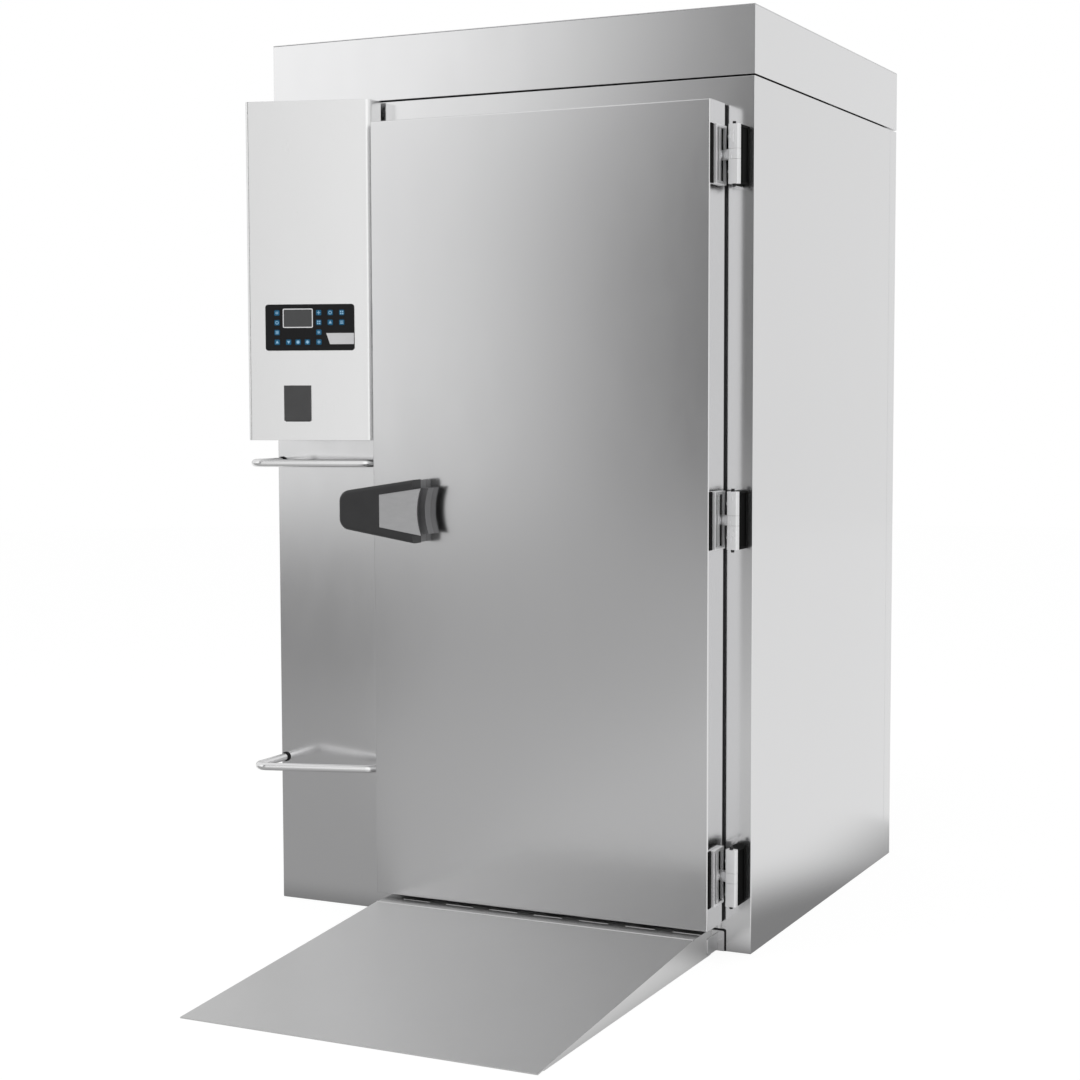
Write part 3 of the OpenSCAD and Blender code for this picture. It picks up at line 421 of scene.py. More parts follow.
# ---- Ramp ----
# One sheet of matt brushed stainless: a landing with two staggered rows of drain slots,
# folded down into the sloping deck under a rolled bead, on two tapered side plates.
low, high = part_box("ramp")
LANDING_EDGE = -0.798
RAMP_SHEET = 0.003
SLOT_ROWS = ((-0.703, 0), (-0.745, 1))
SLOT_START, SLOT_PITCH = 0.062, 0.131
SLOTS = 7
SLOT_HALF = 0.0415
SLOT_R = 0.0035
ramp_steel = stainless("ramp_steel", (0.68, 0.68, 0.68), 0.40, (0.04, 1, 1), 0.00003, 0.06, 0.05)
deck_top = high.z
drop = deck_top - RAMP_SHEET


def join(name, pieces):
    """One piece of several shells."""
    deselect()
    for piece in pieces:
        piece.select_set(True)
    bpy.context.view_layer.objects.active = pieces[0]
    bpy.ops.object.join()
    pieces[0].name = name
    return pieces[0]


def pick_edges(piece, test):
    """Selects, in edit mode, each edge whose two ends pass the test."""
    mesh = edit(piece, "EDGE")
    for edge in mesh.edges:
        edge.select = bool(test(edge.verts[0].co, edge.verts[1].co))
    bmesh.update_edit_mesh(piece.data)


def round_edges(piece, test, radius, segments, **more):
    """Rounds the edges whose two ends pass a test."""
    pick_edges(piece, test)
    bpy.ops.mesh.bevel(offset=radius, segments=segments, **more)
    deselect()


deck = block("ramp_deck", (low.x, LANDING_EDGE, drop), (high.x, high.y, deck_top))
pick_faces(deck, lambda c, n: n.y < -0.9)
push((0, low.y - LANDING_EDGE, -drop))
deselect()
for row_y, row in SLOT_ROWS:
    for i in range(SLOTS):
        x = low.x + SLOT_START + (i + row / 2 - 0.25) * SLOT_PITCH
        slot_cut = block(
            "slot",
            (x - SLOT_HALF, row_y - SLOT_R, drop - 0.002),
            (x + SLOT_HALF, row_y + SLOT_R, deck_top + 0.002),
        )
        round_edges(slot_cut, lambda a, b: abs(a.z - b.z) > 0.001, SLOT_R * 0.98, 5)
        carve(deck, slot_cut)
SIDE_BACK = -0.669
HEEL = (LANDING_EDGE, drop)
slope = Vector((0, low.y - LANDING_EDGE, -drop)).normalized()
up_off_deck = Vector((0, slope.z, -slope.y))
cheeks = []
for x in (low.x, high.x - RAMP_SHEET):
    cheek = block("cheek", (x, low.y + 0.03, 0), (x + RAMP_SHEET, SIDE_BACK, drop))
    cut(cheek, (x, *HEEL), up_off_deck, clear_outer=True)
    round_edges(
        cheek, lambda a, b: min(a.y, b.y) > SIDE_BACK - 0.001 and max(a.z, b.z) < 0.001, 0.014, 5
    )
    cheeks.append(cheek)
bead_y, bead_z = LANDING_EDGE + 0.0015, deck_top - 0.001
bead = rod("bead", (low.x, bead_y, bead_z), (high.x, bead_y, bead_z), 0.0026)
ramp = join("ramp_deck", [deck, *cheeks, bead])
fit(soften(ramp, 0.0006, 2, 25), ramp_steel, "cabinet", "ramp_steel", "ramp")

# ---- Ramp brackets ----
# Two folded angle brackets of thin stainless, each held to the frame by a button-head screw
# with a socket, their fins flat against the ramp's side plates. A black rubber pad behind each
# plate reaches past its top and right edges: a painted shadow outline round the plate.
rubber, shader, dress = material("rubber", Specular_IOR_Level=0.06)
speck = shader.noise(600, 2)
dress(
    Base_Color=shader.mix(speck, (0.012, 0.012, 0.013), (0.03, 0.03, 0.031)),
    Roughness=speck * 0.15 + 0.55,
    Normal=shader.bump(speck, 0.3, 0.00005),
)
bracket_steel = stainless("bracket_steel", (0.66, 0.66, 0.665), 0.34, (0.05, 1, 1))
PLATE_HALF, PLATE_TOP = 0.021, 0.054
SHADOW_PAD_T = 0.001
FIN_L = 0.072


def sink(piece, test, rim, step):
    """Pushes the faces that pass a test along a step, and leaves a rim round them."""
    pick_faces(piece, test)
    bpy.ops.mesh.inset(thickness=rim)
    push(step)
    deselect()


brackets, pads = [], []
for side, edge in ((-1, low.x), (1, high.x)):
    plate = block(
        "plate",
        (edge - PLATE_HALF, frame_y - RAMP_SHEET, 0.0005),
        (edge + PLATE_HALF, frame_y - SHADOW_PAD_T, PLATE_TOP),
    )
    # Painted shadow: the black pad stands out past the plate's top and right edges as the dark outline of
    # its shadow.
    pad = block(
        "pad",
        (edge - PLATE_HALF - 0.0005, frame_y - SHADOW_PAD_T, 0.001),
        (edge + PLATE_HALF + 0.0045, frame_y - 0.0002, PLATE_TOP + 0.0045),
    )
    for piece in (pad, plate):
        round_edges(piece, lambda a, b: abs(a.y - b.y) > 0.0005 and max(a.z, b.z) > 0.05, 0.005, 4)
    pads.append(pad)
    fin_x = edge - RAMP_SHEET if side < 0 else edge
    fin = block(
        "fin", (fin_x, frame_y - FIN_L, 0.004), (fin_x + RAMP_SHEET, frame_y - RAMP_SHEET, 0.048)
    )
    round_edges(
        fin, lambda a, b: abs(a.x - b.x) > 0.001 and max(a.y, b.y) < frame_y - 0.07, 0.008, 4
    )
    x = edge + side * 0.011
    head = rod("head", (x, frame_y - 0.0029, 0.031), (x, frame_y - 0.005, 0.031), 0.0035)
    sink(head, lambda c, n: n.y < -0.9, 0.0014, (0, 0.0014, 0))
    brackets += [plate, fin, head]
brackets = soften(join("ramp_bracket_pair", brackets), 0.0006, 2)
fit(brackets, bracket_steel, "cabinet", "bright_steel", "ramp_brackets")
# The black pads are painted shadow round the bracket plates.
fit(join("bracket_pads", pads), rubber, "cabinet", "gasket_rubber", "ramp_brackets")

# ---- Guard rails ----
# Two bent tubes of satin stainless in front of the lower left panel. Each runs out of the
# frame, turns along the slant of the control box and runs back, through rubber grommets.
RAIL_R = 0.0105
RAIL_BEND = 0.028
rail_steel = stainless("rail_steel", (0.80, 0.80, 0.805), 0.24, (1, 1, 1))


def bent_tube(name, route, radius, bend, sides=24):
    """A tube swept along a route: straight runs extruded, and each corner spun."""
    deselect()
    route = [Vector(point) for point in route]
    way = (route[1] - route[0]).normalized()
    bpy.ops.mesh.primitive_circle_add(vertices=sides, radius=radius, fill_type="NOTHING")
    piece = bpy.context.object
    piece.name = name
    piece.rotation_mode = "QUATERNION"
    piece.rotation_quaternion = way.to_track_quat("Z", "Y")
    piece.location = route[0]
    settle(piece)
    edit(piece, "VERT")
    bpy.ops.mesh.select_all(action="SELECT")
    here = route[0]
    for i in range(1, len(route) - 1):
        next_way = (route[i + 1] - route[i]).normalized()
        turn = way.angle(next_way)
        start = route[i] - way * (bend * math.tan(turn / 2))
        bpy.ops.mesh.extrude_region_move(TRANSFORM_OT_translate={"value": start - here})
        axis = way.cross(next_way).normalized()
        centre = start + axis.cross(way) * bend
        bpy.ops.mesh.spin(steps=10, angle=-turn, center=centre, axis=axis)  # spin turns left-handed
        here = route[i] + next_way * (bend * math.tan(turn / 2))
        way = next_way
    bpy.ops.mesh.extrude_region_move(TRANSFORM_OT_translate={"value": route[-1] - here})
    bpy.ops.mesh.select_all(action="SELECT")
    bpy.ops.mesh.remove_doubles(threshold=0.00001)
    bpy.ops.mesh.select_all(action="DESELECT")
    bpy.ops.mesh.select_non_manifold()
    bpy.ops.mesh.edge_face_add()
    bpy.ops.mesh.select_all(action="SELECT")
    bpy.ops.mesh.normals_make_consistent(inside=False)
    deselect()
    return smooth(piece)


RAIL_X, RAIL_Y = (-0.694, -0.368), (-0.79803, -0.69873)
RAIL_Z = []
for name, node in (("rail_lower", "lower_guard_rail"), ("rail_upper", "upper_guard_rail")):
    low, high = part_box(node)
    z = (low.z + high.z) / 2
    RAIL_Z.append(z)
    route = [
        (RAIL_X[0], high.y, z),
        (RAIL_X[0], RAIL_Y[0], z),
        (RAIL_X[1], RAIL_Y[1], z),
        (RAIL_X[1], high.y, z),
    ]
    fit(bent_tube(name, route, RAIL_R, RAIL_BEND), rail_steel, "cabinet", "bright_steel", node)

low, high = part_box("rail_grommets")
LIP_T = 0.0026
grommets = []
for x in RAIL_X:
    for z in RAIL_Z:
        deselect()
        bpy.ops.mesh.primitive_torus_add(
            major_radius=0.0118, minor_radius=0.0016, major_segments=32, minor_segments=12,
            location=(x, low.y + 0.0016, z), rotation=(math.radians(90), 0, 0),
        )
        grommets.append(settle(bpy.context.object))
        lip = rod("lip", (x, low.y + 0.0016, z), (x, high.y, z), 0.0133)
        pick_faces(lip, lambda c, n: abs(n.y) > 0.9)
        bpy.ops.mesh.delete(type="FACE")
        thicken(lip, LIP_T)
        grommets.append(lip)
fit(smooth(join("grommets", grommets)), rubber, "cabinet", "gasket_rubber", "rail_grommets")

# ---- Hinges ----
# Three lift-off hinges in cast and polished metal: two bright knuckles on a black polymer
# block on the frame, a black pin with chamfered ends, and a channel leaf with a screw boss
# on the door's side, whose arm carries the middle knuckle. The block's near-zero black, with
# almost no reflection, is partly painted shade beside the hinge. A black slab on the floor of
# the leaf's channel and a black strip on the door's side in front of the leaf are painted shade.
PIN_X, PIN_Y = 0.676, -0.693
HINGE_HALF = 0.073
low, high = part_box("hinge_door_leaves")
HINGE_Z = (low.z + HINGE_HALF, (low.z + high.z) / 2, high.z - HINGE_HALF)
PIN_R = 0.0045
KNUCKLE_HALF = 0.0125
KNUCKLE_PLAY = 0.0005
KNUCKLE_X0, KNUCKLE_X1 = -0.01325, 0.01525
KNUCKLE_Y0, KNUCKLE_Y1 = -0.010, 0.009
KNUCKLE_ROUND = 0.0042
LEAF_BACK = 0.0025
DOOR_SIDE = -0.042
chrome, shader, dress = material("hinge_metal", Metallic=0.35)
polish = shader.noise(700, 2, (1, 1, 0.03))
haze = shader.noise(18, 3)
dress(
    Base_Color=shader.mix(haze, (0.84, 0.84, 0.85), (0.90, 0.90, 0.91)),
    Roughness=polish * 0.04 + haze * 0.05 + 0.22,
)
pin_black, shader, dress = material("pin_black", Metallic=1.0, Roughness=0.35)
dress(Base_Color=shader.mix(shader.noise(300, 2), (0.02, 0.02, 0.021), (0.05, 0.05, 0.052)))
# Near-black with almost no reflection: the block's own black and partly painted shade, and only painted
# shade on the leaf's slab and strip.
hinge_black_and_shade, shader, dress = material("hinge_black_and_shade", Specular_IOR_Level=0.03)
grit = shader.noise(900, 2)
dress(
    Base_Color=shader.mix(grit, (0.003, 0.003, 0.003), (0.009, 0.009, 0.009)),
    Roughness=grit * 0.2 + 0.5,
)


def vertical_rounding(piece, radius, test=lambda v: True, segments=6):
    """Rounds the upright edges of a piece that pass a test on their place."""

    def upright(a, b):
        return abs(a.z - b.z) > 0.003 and (a.xy - b.xy).length < 0.0005 and test(a)

    round_edges(piece, upright, radius, segments)


def round_rim(piece, test, radius, segments):
    """Rounds the rims of the faces that pass a test."""
    pick_faces(piece, test)
    bpy.ops.mesh.bevel(offset=radius, segments=segments)
    deselect()


def hinge_parts():
    """The parts of one hinge, about its pin."""
    base = block("hinge_block", (KNUCKLE_X0, KNUCKLE_Y1, -HINGE_HALF), (KNUCKLE_X1, 0.060, HINGE_HALF))
    vertical_rounding(base, 0.003, segments=3)
    sink(base, lambda c, n: n.x > 0.9, 0.006, (-0.0015, 0, 0))
    room_half = KNUCKLE_HALF + 0.0015
    room = block("room", (-0.03, 0, -room_half), (0, 0.022, room_half))
    carve(base, rod("room", (0, 0, -room_half), (0, 0, room_half), 0.0178, 48), room)
    soften(base, 0.0008, 2)
    knuckles = []
    for end in (-1, 1):
        z0, z1 = sorted((end * (KNUCKLE_HALF + KNUCKLE_PLAY), end * HINGE_HALF))
        knuckle = block("knuckle", (KNUCKLE_X0, KNUCKLE_Y0, z0), (KNUCKLE_X1, KNUCKLE_Y1, z1))
        vertical_rounding(knuckle, KNUCKLE_ROUND)
        pick_faces(knuckle, lambda c, n: abs(n.z) > 0.9)
        bpy.ops.mesh.inset(thickness=0.0016, use_individual=True)
        bpy.ops.mesh.bevel(offset=0.0006, segments=2)
        deselect()
        screw_z = (z0 + z1) / 2
        boss = rod("boss", (-0.01295, -0.001, screw_z), (-0.0145, -0.001, screw_z), 0.005)
        carve(knuckle, rod("bore", (0, 0, z0 - 0.01), (0, 0, z1 + 0.01), PIN_R, 32))
        knuckles += [soften(knuckle, 0.0007, 2), boss]
    pin = rod("pin", (0, 0, -HINGE_HALF - 0.007), (0, 0, HINGE_HALF + 0.007), PIN_R, 32)
    round_rim(pin, lambda c, n: abs(n.z) > 0.9, 0.0012, 3)
    smooth(pin)
    leaf = block("leaf", (DOOR_SIDE, -0.038, -HINGE_HALF), (DOOR_SIDE + 0.010, 0.032, HINGE_HALF))
    sink(leaf, lambda c, n: n.x > 0.9, 0.008, (-0.007, 0, 0))
    boss = rod("boss", (DOOR_SIDE + 0.001, 0, 0), (DOOR_SIDE + 0.008, 0, 0), 0.009)
    sink(boss, lambda c, n: n.x > 0.9, 0.004, (-0.002, 0, 0))
    rib = block("rib", (DOOR_SIDE + LEAF_BACK, -0.015, -0.0655), (DOOR_SIDE + 0.0085, -0.001, 0.0655))
    # Painted shade: a black slab on the floor of the leaf's channel darkens the recess.
    channel_shade = block("channel_shade", (DOOR_SIDE + 0.0031, -0.0298, -0.0648), (DOOR_SIDE + 0.0036, 0.0238, 0.0648))
    # Painted shadow: a black strip on the door's side in front of the leaf, where the leaf's shade and dark
    # reflection fall.
    strip = block("strip", (DOOR_SIDE, -0.0565, -HINGE_HALF), (DOOR_SIDE + LEAF_BACK, -0.0383, HINGE_HALF))
    channel = join("channel", [channel_shade, soften(strip, 0.0006, 2)])
    arm = block("arm", (KNUCKLE_X0, KNUCKLE_Y0, -KNUCKLE_HALF), (KNUCKLE_X1, KNUCKLE_Y1, KNUCKLE_HALF))
    vertical_rounding(arm, KNUCKLE_ROUND)
    bar = block("bar", (DOOR_SIDE + 0.001, 0.0145, -KNUCKLE_HALF), (0.0, 0.0295, KNUCKLE_HALF))
    mesh = edit(bar, "VERT")
    for v in mesh.verts:
        if v.co.x > DOOR_SIDE / 2:
            v.co.x, v.co.y = (0.0, 0.0092) if v.co.y > 0.02 else (-0.001, -0.0092)
    bmesh.update_edit_mesh(bar.data)
    deselect()
    carve(arm, bar, mode="UNION")
    carve(arm, rod("bore", (0, 0, -0.02), (0, 0, 0.02), PIN_R + 0.00005, 32))
    soften(arm, 0.0006, 2)
    leaf_parts = [soften(leaf, 0.0009, 2), soften(rib, 0.0009, 2), soften(boss, 0.0006, 2), arm]
    leaf = join("leaf", leaf_parts)
    return base, join("knuckles", knuckles), pin, leaf, channel


def at_each_hinge(part, name, finish, body, slot, *node):
    """Copies a part to the three hinge heights, each copy with its own mesh."""
    for z, label in zip(HINGE_Z, ("low", "middle", "top")):
        twin = part.copy()
        twin.data = part.data.copy()
        twin.name = f"{name}_{label}"
        bpy.context.scene.collection.objects.link(twin)
        twin.location = (PIN_X, PIN_Y, z)
        fit(settle(twin), finish, body, slot, *node)
    bpy.data.objects.remove(part)


base, knuckles, pin, leaf, channel = hinge_parts()
at_each_hinge(base, "hinge_block", hinge_black_and_shade, "cabinet", "black_plastic", "hinge_base_blocks")
at_each_hinge(knuckles, "hinge_knuckles", chrome, "cabinet", "hinge_metal", "hinge_frame_knuckles")
at_each_hinge(pin, "hinge_pin", pin_black, "cabinet", "dark_steel", "hinge_pins")
at_each_hinge(leaf, "hinge_leaf", chrome, "door", "hinge_metal", "hinge_door_leaves")
# The painted shade pieces of the leaf ride the door.
at_each_hinge(channel, "hinge_channel", hinge_black_and_shade, "door", "black_plastic")

# ---- Door ----
# An outer pan of brushed stainless with folded edges round a rigid foam core, a liner sheet
# with a shallow pressed field on the chamber side, a bellows gasket and a wiper strip.
door_steel = stainless("door_steel", (0.66, 0.66, 0.665), 0.17, (1, 1, 0.012), 0.000002, 0.010, 0.016)
DOOR_BEND = 0.0035
low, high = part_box("door_outer_skin")
guide_low, guide_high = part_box("release_guide")
ROD_X, ROD_Z = (guide_low.x + guide_high.x) / 2, (guide_low.z + guide_high.z) / 2
GUIDE_R = 0.012
pan = block("door_pan", low, (high.x, high.y - 0.002, high.z))
round_edges(pan, lambda a, b: max(a.y, b.y) < low.y + 0.001, DOOR_BEND, 4)
sink(pan, lambda c, n: n.y > 0.9, 0.012, (0, -0.0015, 0))


def rod_bore(piece, y0, y1, radius, sides=32):
    """Bores a hole along the release rod's line from one depth to another."""
    carve(piece, rod("bore", (ROD_X, y0, ROD_Z), (ROD_X, y1, ROD_Z), radius, sides))


rod_bore(pan, low.y - 0.01, high.y + 0.01, GUIDE_R)
fit(soften(pan, 0.0009, 2), door_steel, "door", "door_steel", "door_outer_skin", "door_core")

liner_low, liner_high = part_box("door_liner")
LINER_IN, LINER_T = 0.010, 0.0034
liner = block(
    "door_liner_sheet",
    (liner_low.x + LINER_IN, liner_high.y - LINER_T, liner_low.z + LINER_IN),
    (liner_high.x - LINER_IN, liner_high.y, liner_high.z - LINER_IN),
)
pick_faces(liner, lambda c, n: n.y > 0.9)
bpy.ops.mesh.inset(thickness=0.075)
bpy.ops.mesh.inset(thickness=0.006, depth=-0.0022)
deselect()
rod_bore(liner, low.y - 0.01, high.y + 0.01, GUIDE_R)
fit(soften(liner, 0.0008, 2, 20), door_steel, "door", "door_steel", "door_liner")

GASKET = 0.016
gasket_low, gasket_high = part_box("door_gasket")
seal_x0, seal_x1 = low.x + 0.002, high.x - 0.002
seal_top = high.z - 0.002
seal = block("door_seal", (seal_x0, liner_high.y, seal_top - GASKET), (seal_x1, gasket_high.y, seal_top))
for x in (seal_x0 + GASKET, seal_x1 - GASKET):
    cut(seal, (x, 0, 0), (1, 0, 0))
pick_faces(seal, lambda c, n: n.z < -0.9 and not seal_x0 + GASKET < c.x < seal_x1 - GASKET)
push((0, 0, low.z + 0.0005 - (seal_top - GASKET)))
deselect()
sink(seal, lambda c, n: n.y > 0.9, 0.0042, (0, -0.0035, 0))
soften(seal, 0.0016, 3, 30)
wiper = block(
    "wiper",
    (gasket_low.x + 0.029, gasket_low.y, gasket_low.z),
    (gasket_high.x - 0.021, gasket_low.y + 0.006, low.z + 0.002),
)
pick_faces(wiper, lambda c, n: n.z < -0.9)
bpy.ops.transform.resize(value=(1, 0.35, 1))
deselect()
fit(join("door_seal", [seal, soften(wiper, 0.0006, 2)]), rubber, "door", "gasket_rubber", "door_gasket")

# ---- Door handle ----
# A moulded lever that is pulled at its wide end and prises the door off its seal with a nose
# at the rounded end. It turns on a pin between two ears of a grey painted base, with room for
# the fingers behind its thin grip end. A grey grip plate is set into the lever's face.
HX, HY, HZ = low.x, low.y, ROD_Z
LEVER_X0, LEVER_X1 = HX - 0.063, HX + 0.163
LEVER_FRONT, LEVER_BACK = HY - 0.078, HY - 0.030
NARROW_HALF, WIDE_HALF = 0.0535, 0.084
END_R = 0.028
GRIP_X1 = HX + 0.188
GRIP_HALF, GRIP_HALF_IN = 0.062, 0.043
HOLLOW_R = 0.173
HOLLOW_X = GRIP_X1 - 0.0115 + HOLLOW_R
PIVOT_X, PIVOT_Y = HX + 0.050, HY - 0.054
EAR_Z, EAR_R, EAR_HALF = 0.031, 0.008, 0.005
LEVER_TURN = math.radians(18)
GRIP_X0, GRIP_DEPTH = HX + 0.063, 0.0032
TONGUE_BACK = LEVER_FRONT + 0.009
mould, shader, dress = material("mould_black")
grain = shader.noise(1400, 2)
wear = shader.noise(24, 4)
dress(
    Base_Color=shader.mix(wear, (0.013, 0.013, 0.014), (0.026, 0.026, 0.027)),
    Roughness=grain * 0.16 + wear * 0.10 + 0.34,
    Normal=shader.bump(grain, 0.35, 0.00006),
)


def handle_form(name, x0, y0, y1, shrink=0.0):
    """The handle's outline as a slab: a tapered body, round at its narrow end, hollow at its grip."""
    body = block(name, (x0, y0, HZ - 0.1), (LEVER_X1 - shrink, y1, HZ + 0.1))
    rise = (WIDE_HALF - NARROW_HALF) / (LEVER_X1 - LEVER_X0 - END_R)
    for side in (-1, 1):
        edge = (LEVER_X1, 0, HZ + side * (WIDE_HALF - shrink))
        cut(body, edge, (-rise, 0, side), clear_outer=True)
    round_edges(
        body,
        lambda a, b: abs(a.y - b.y) > 0.003 and max(a.x, b.x) < x0 + 0.001,
        (END_R - shrink) * 0.93,
        9,
    )
    tongue_half = GRIP_HALF - shrink
    tongue = block(
        "tongue", (LEVER_X1 - 0.03, y0, HZ - tongue_half), (GRIP_X1 + 0.002, y1, HZ + tongue_half)
    )
    carve(body, tongue, mode="UNION")
    hollow = rod(
        "hollow", (HOLLOW_X, y0 - 0.01, HZ), (HOLLOW_X, y1 + 0.01, HZ), HOLLOW_R + shrink, 160
    )
    return carve(body, hollow)


lever = handle_form("lever", LEVER_X0, LEVER_FRONT, LEVER_BACK)
round_edges(
    lever,
    lambda a, b: max(a.y, b.y) < LEVER_FRONT + 0.0005 and min(a.x, b.x) <= LEVER_X1 - 0.04,
    0.011,
    3,
    profile=0.55,
)
recess = block(
    "recess",
    (GRIP_X0, LEVER_FRONT - 0.01, HZ - 0.1),
    (GRIP_X1 + 0.01, LEVER_FRONT + GRIP_DEPTH, HZ + 0.1),
)
grip_rise = (GRIP_HALF - GRIP_HALF_IN) / (GRIP_X1 - GRIP_X0)
for side in (-1, 1):
    cut(recess, (GRIP_X1, 0, HZ + side * GRIP_HALF), (-grip_rise, 0, side), clear_outer=True)
grip = recess.copy()
grip.data = recess.data.copy()
bpy.context.scene.collection.objects.link(grip)
carve(lever, recess)
rooms = [
    (LEVER_X1 - 0.033, LEVER_X1 + 0.001, TONGUE_BACK, HZ, 0.058),
    (LEVER_X1, GRIP_X1 + 0.01, TONGUE_BACK, HZ, 0.063),
]
for side in (-1, 1):
    rooms.append((PIVOT_X - 0.019, PIVOT_X + 0.019, PIVOT_Y - 0.012, HZ + side * EAR_Z, 0.0065))
for x0, x1, y, z, half in rooms:
    carve(lever, block("room", (x0, y, z - half), (x1, LEVER_BACK + 0.01, z + half)))
carve(lever, rod("bore", (PIVOT_X, PIVOT_Y, HZ - 0.0445), (PIVOT_X, PIVOT_Y, HZ + 0.0445), 0.00505, 32))
soften(lever, 0.0011, 3, 30)
nose = block("nose", (HX - 0.050, LEVER_BACK - 0.001, HZ - 0.020), (HX - 0.038, HY + 0.014, HZ + 0.020))
pick_faces(nose, lambda c, n: n.y > 0.9)
push((0, 0.006, 0))
round_edges(
    nose, lambda a, b: min(a.y, b.y) > HY + 0.019 and abs(a.z - b.z) > 0.01, 0.0055, 6
)
lever = join("handle_lever_body", [lever, soften(nose, 0.0008, 2)])
fit(lever, mould, "handle", "black_plastic", "handle_lever")

grip_grey, shader, dress = material("grip_grey")
grain = shader.noise(1100, 2)
scuff = shader.noise(36, 5, (1, 1, 3))
dress(
    Base_Color=shader.mix(scuff, (0.33, 0.33, 0.335), (0.40, 0.40, 0.405)),
    Roughness=grain * 0.12 + scuff * 0.14 + 0.26,
    Normal=shader.bump(grain, 0.25, 0.00004),
)
grip.name = "handle_grip"
carve(grip, rod("hollow", (HOLLOW_X, HY - 0.2, HZ), (HOLLOW_X, HY, HZ), HOLLOW_R, 160))
cut(grip, (0, LEVER_FRONT + 0.0005, 0), (0, -1, 0), clear_outer=True)
pick_faces(grip, lambda c, n: n.y < -0.9)
bpy.ops.mesh.inset(thickness=0.0012)
bpy.ops.mesh.inset(thickness=0.0015, depth=-0.0006)
deselect()
fit(soften(grip, 0.0004, 2, 30), grip_grey, "handle", "grip_grey", "grip_plate")

base_front = LEVER_BACK + 0.0005
mount = handle_form("handle_mount", HX + 0.004, base_front, HY, 0.0015)
wedge_y = PIVOT_Y + 0.024 / math.cos(LEVER_TURN) + 0.0006
wedge = block(
    "wedge", (HX - 0.01, base_front - 0.02, HZ - 0.12), (PIVOT_X + 0.005, HY + 0.04, HZ + 0.12)
)
cut(wedge, (PIVOT_X, wedge_y, 0), (math.tan(LEVER_TURN), 1, 0), clear_outer=True)
carve(mount, wedge)
rod_bore(mount, base_front - 0.01, HY + 0.01, 0.0075)
soften(mount, 0.0014, 3, 30)
ears = []
for side in (-1, 1):
    z0, z1 = HZ + side * EAR_Z - EAR_HALF, HZ + side * EAR_Z + EAR_HALF
    ear = rod("ear", (PIVOT_X, PIVOT_Y, z0), (PIVOT_X, PIVOT_Y, z1), EAR_R, 32)
    leg = block("leg", (PIVOT_X - EAR_R, PIVOT_Y, z0), (PIVOT_X + EAR_R, base_front + 0.001, z1))
    carve(ear, leg, mode="UNION")
    ears.append(soften(ear, 0.0006, 2))
pin = rod("pin", (PIVOT_X, PIVOT_Y, HZ - 0.044), (PIVOT_X, PIVOT_Y, HZ + 0.044), 0.005, 32)
ears.append(smooth(pin))
handle_grey, shader, dress = material("handle_grey", Coat_Weight=0.1)
paint = shader.noise(420, 2)
rub = shader.noise(30, 4)
dress(
    Base_Color=shader.mix(rub, (0.145, 0.145, 0.15), (0.185, 0.185, 0.19)),
    Roughness=paint * 0.1 + rub * 0.1 + 0.32,
    Normal=shader.bump(paint, 0.2, 0.00003),
)
fit(join("handle_mount", [mount, *ears]), handle_grey, "door", "handle_grey", "handle_base")

low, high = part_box("strike_block")
strike = block("strike", low, high)
vertical_rounding(strike, 0.006)
sink(strike, lambda c, n: n.y < -0.9, 0.006, (0, 0.002, 0))
fit(soften(strike, 0.001, 2), mould, "cabinet", "black_plastic", "strike_block")

# ---- Inside release ----
# A glossy green push knob on a rod that runs through the door in a satin steel guide, so the
# door can be opened from the chamber. The rod's round tip ends a hair short of the lever.
green, shader, dress = material("release_green", Coat_Weight=0.4)
haze = shader.noise(60, 3)
dress(
    Base_Color=shader.mix(haze, (0.03, 0.36, 0.06), (0.05, 0.47, 0.09)),
    Roughness=haze * 0.15 + 0.22,
)
low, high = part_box("release_rod")
KNOB_R, TIP_PLAY = 0.028, 0.001
stem = rod("stem", (ROD_X, low.y + TIP_PLAY, HZ), (ROD_X, high.y - 0.015, HZ), 0.007, 32)
round_rim(stem, lambda c, n: n.y < -0.9, 0.0055, 6)
knob = rod("knob", (ROD_X, high.y - 0.016, HZ), (ROD_X, high.y, HZ), KNOB_R, 64)
round_rim(knob, lambda c, n: abs(n.y) > 0.9, 0.004, 5)
pick_faces(knob, lambda c, n: n.y > 0.99)
bpy.ops.mesh.inset(thickness=0.005)
bpy.ops.mesh.inset(thickness=0.004, depth=-0.0018)
deselect()
fit(join("release_button", [smooth(stem), smooth(knob)]), green, "release", "release_green", "release_rod")

low, high = guide_low, guide_high
guide = rod("guide", (ROD_X, low.y, HZ), (ROD_X, high.y - 0.006, HZ), GUIDE_R, 40)
flange = rod("flange", (ROD_X, high.y - 0.006, HZ), (ROD_X, high.y, HZ), GUIDE_R + 0.008, 48)
carve(guide, flange, mode="UNION")
rod_bore(guide, low.y - 0.01, high.y + 0.01, 0.00708)
fit(soften(guide, 0.0008, 3), rail_steel, "door", "bright_steel", "release_guide")

# ---- Control box ----
# A folded cover of fine satin stainless sheet, its face slanted toward the door, with round
# bends at its front corners. It stands on a back plate on feet, off the cabinet's frame.
BOX_FACE = 0.35018
BOX_TURN = math.radians(16.94)
BOX_BEND = 0.0126
BOX_SHEET = 0.002
low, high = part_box("control_cover")
box_corner = Vector((low.x, -0.705 - BOX_FACE * math.sin(BOX_TURN), 0))
face_frame = Matrix.Translation(box_corner) @ Matrix.Rotation(BOX_TURN, 4, "Z")
panel_low, panel_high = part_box("display_window")
FACE_Z = (panel_low.z + panel_high.z) / 2 - 0.025
box_steel = stainless("box_steel", (0.80, 0.80, 0.802), 0.26, (1, 1, 0.02), 0.000001, 0.006, 0.010)


def on_face(piece):
    """Puts a piece made in the face's own axes, x along it and y into it, on the slanted face."""
    piece.matrix_world = face_frame @ piece.matrix_world
    return settle(piece)


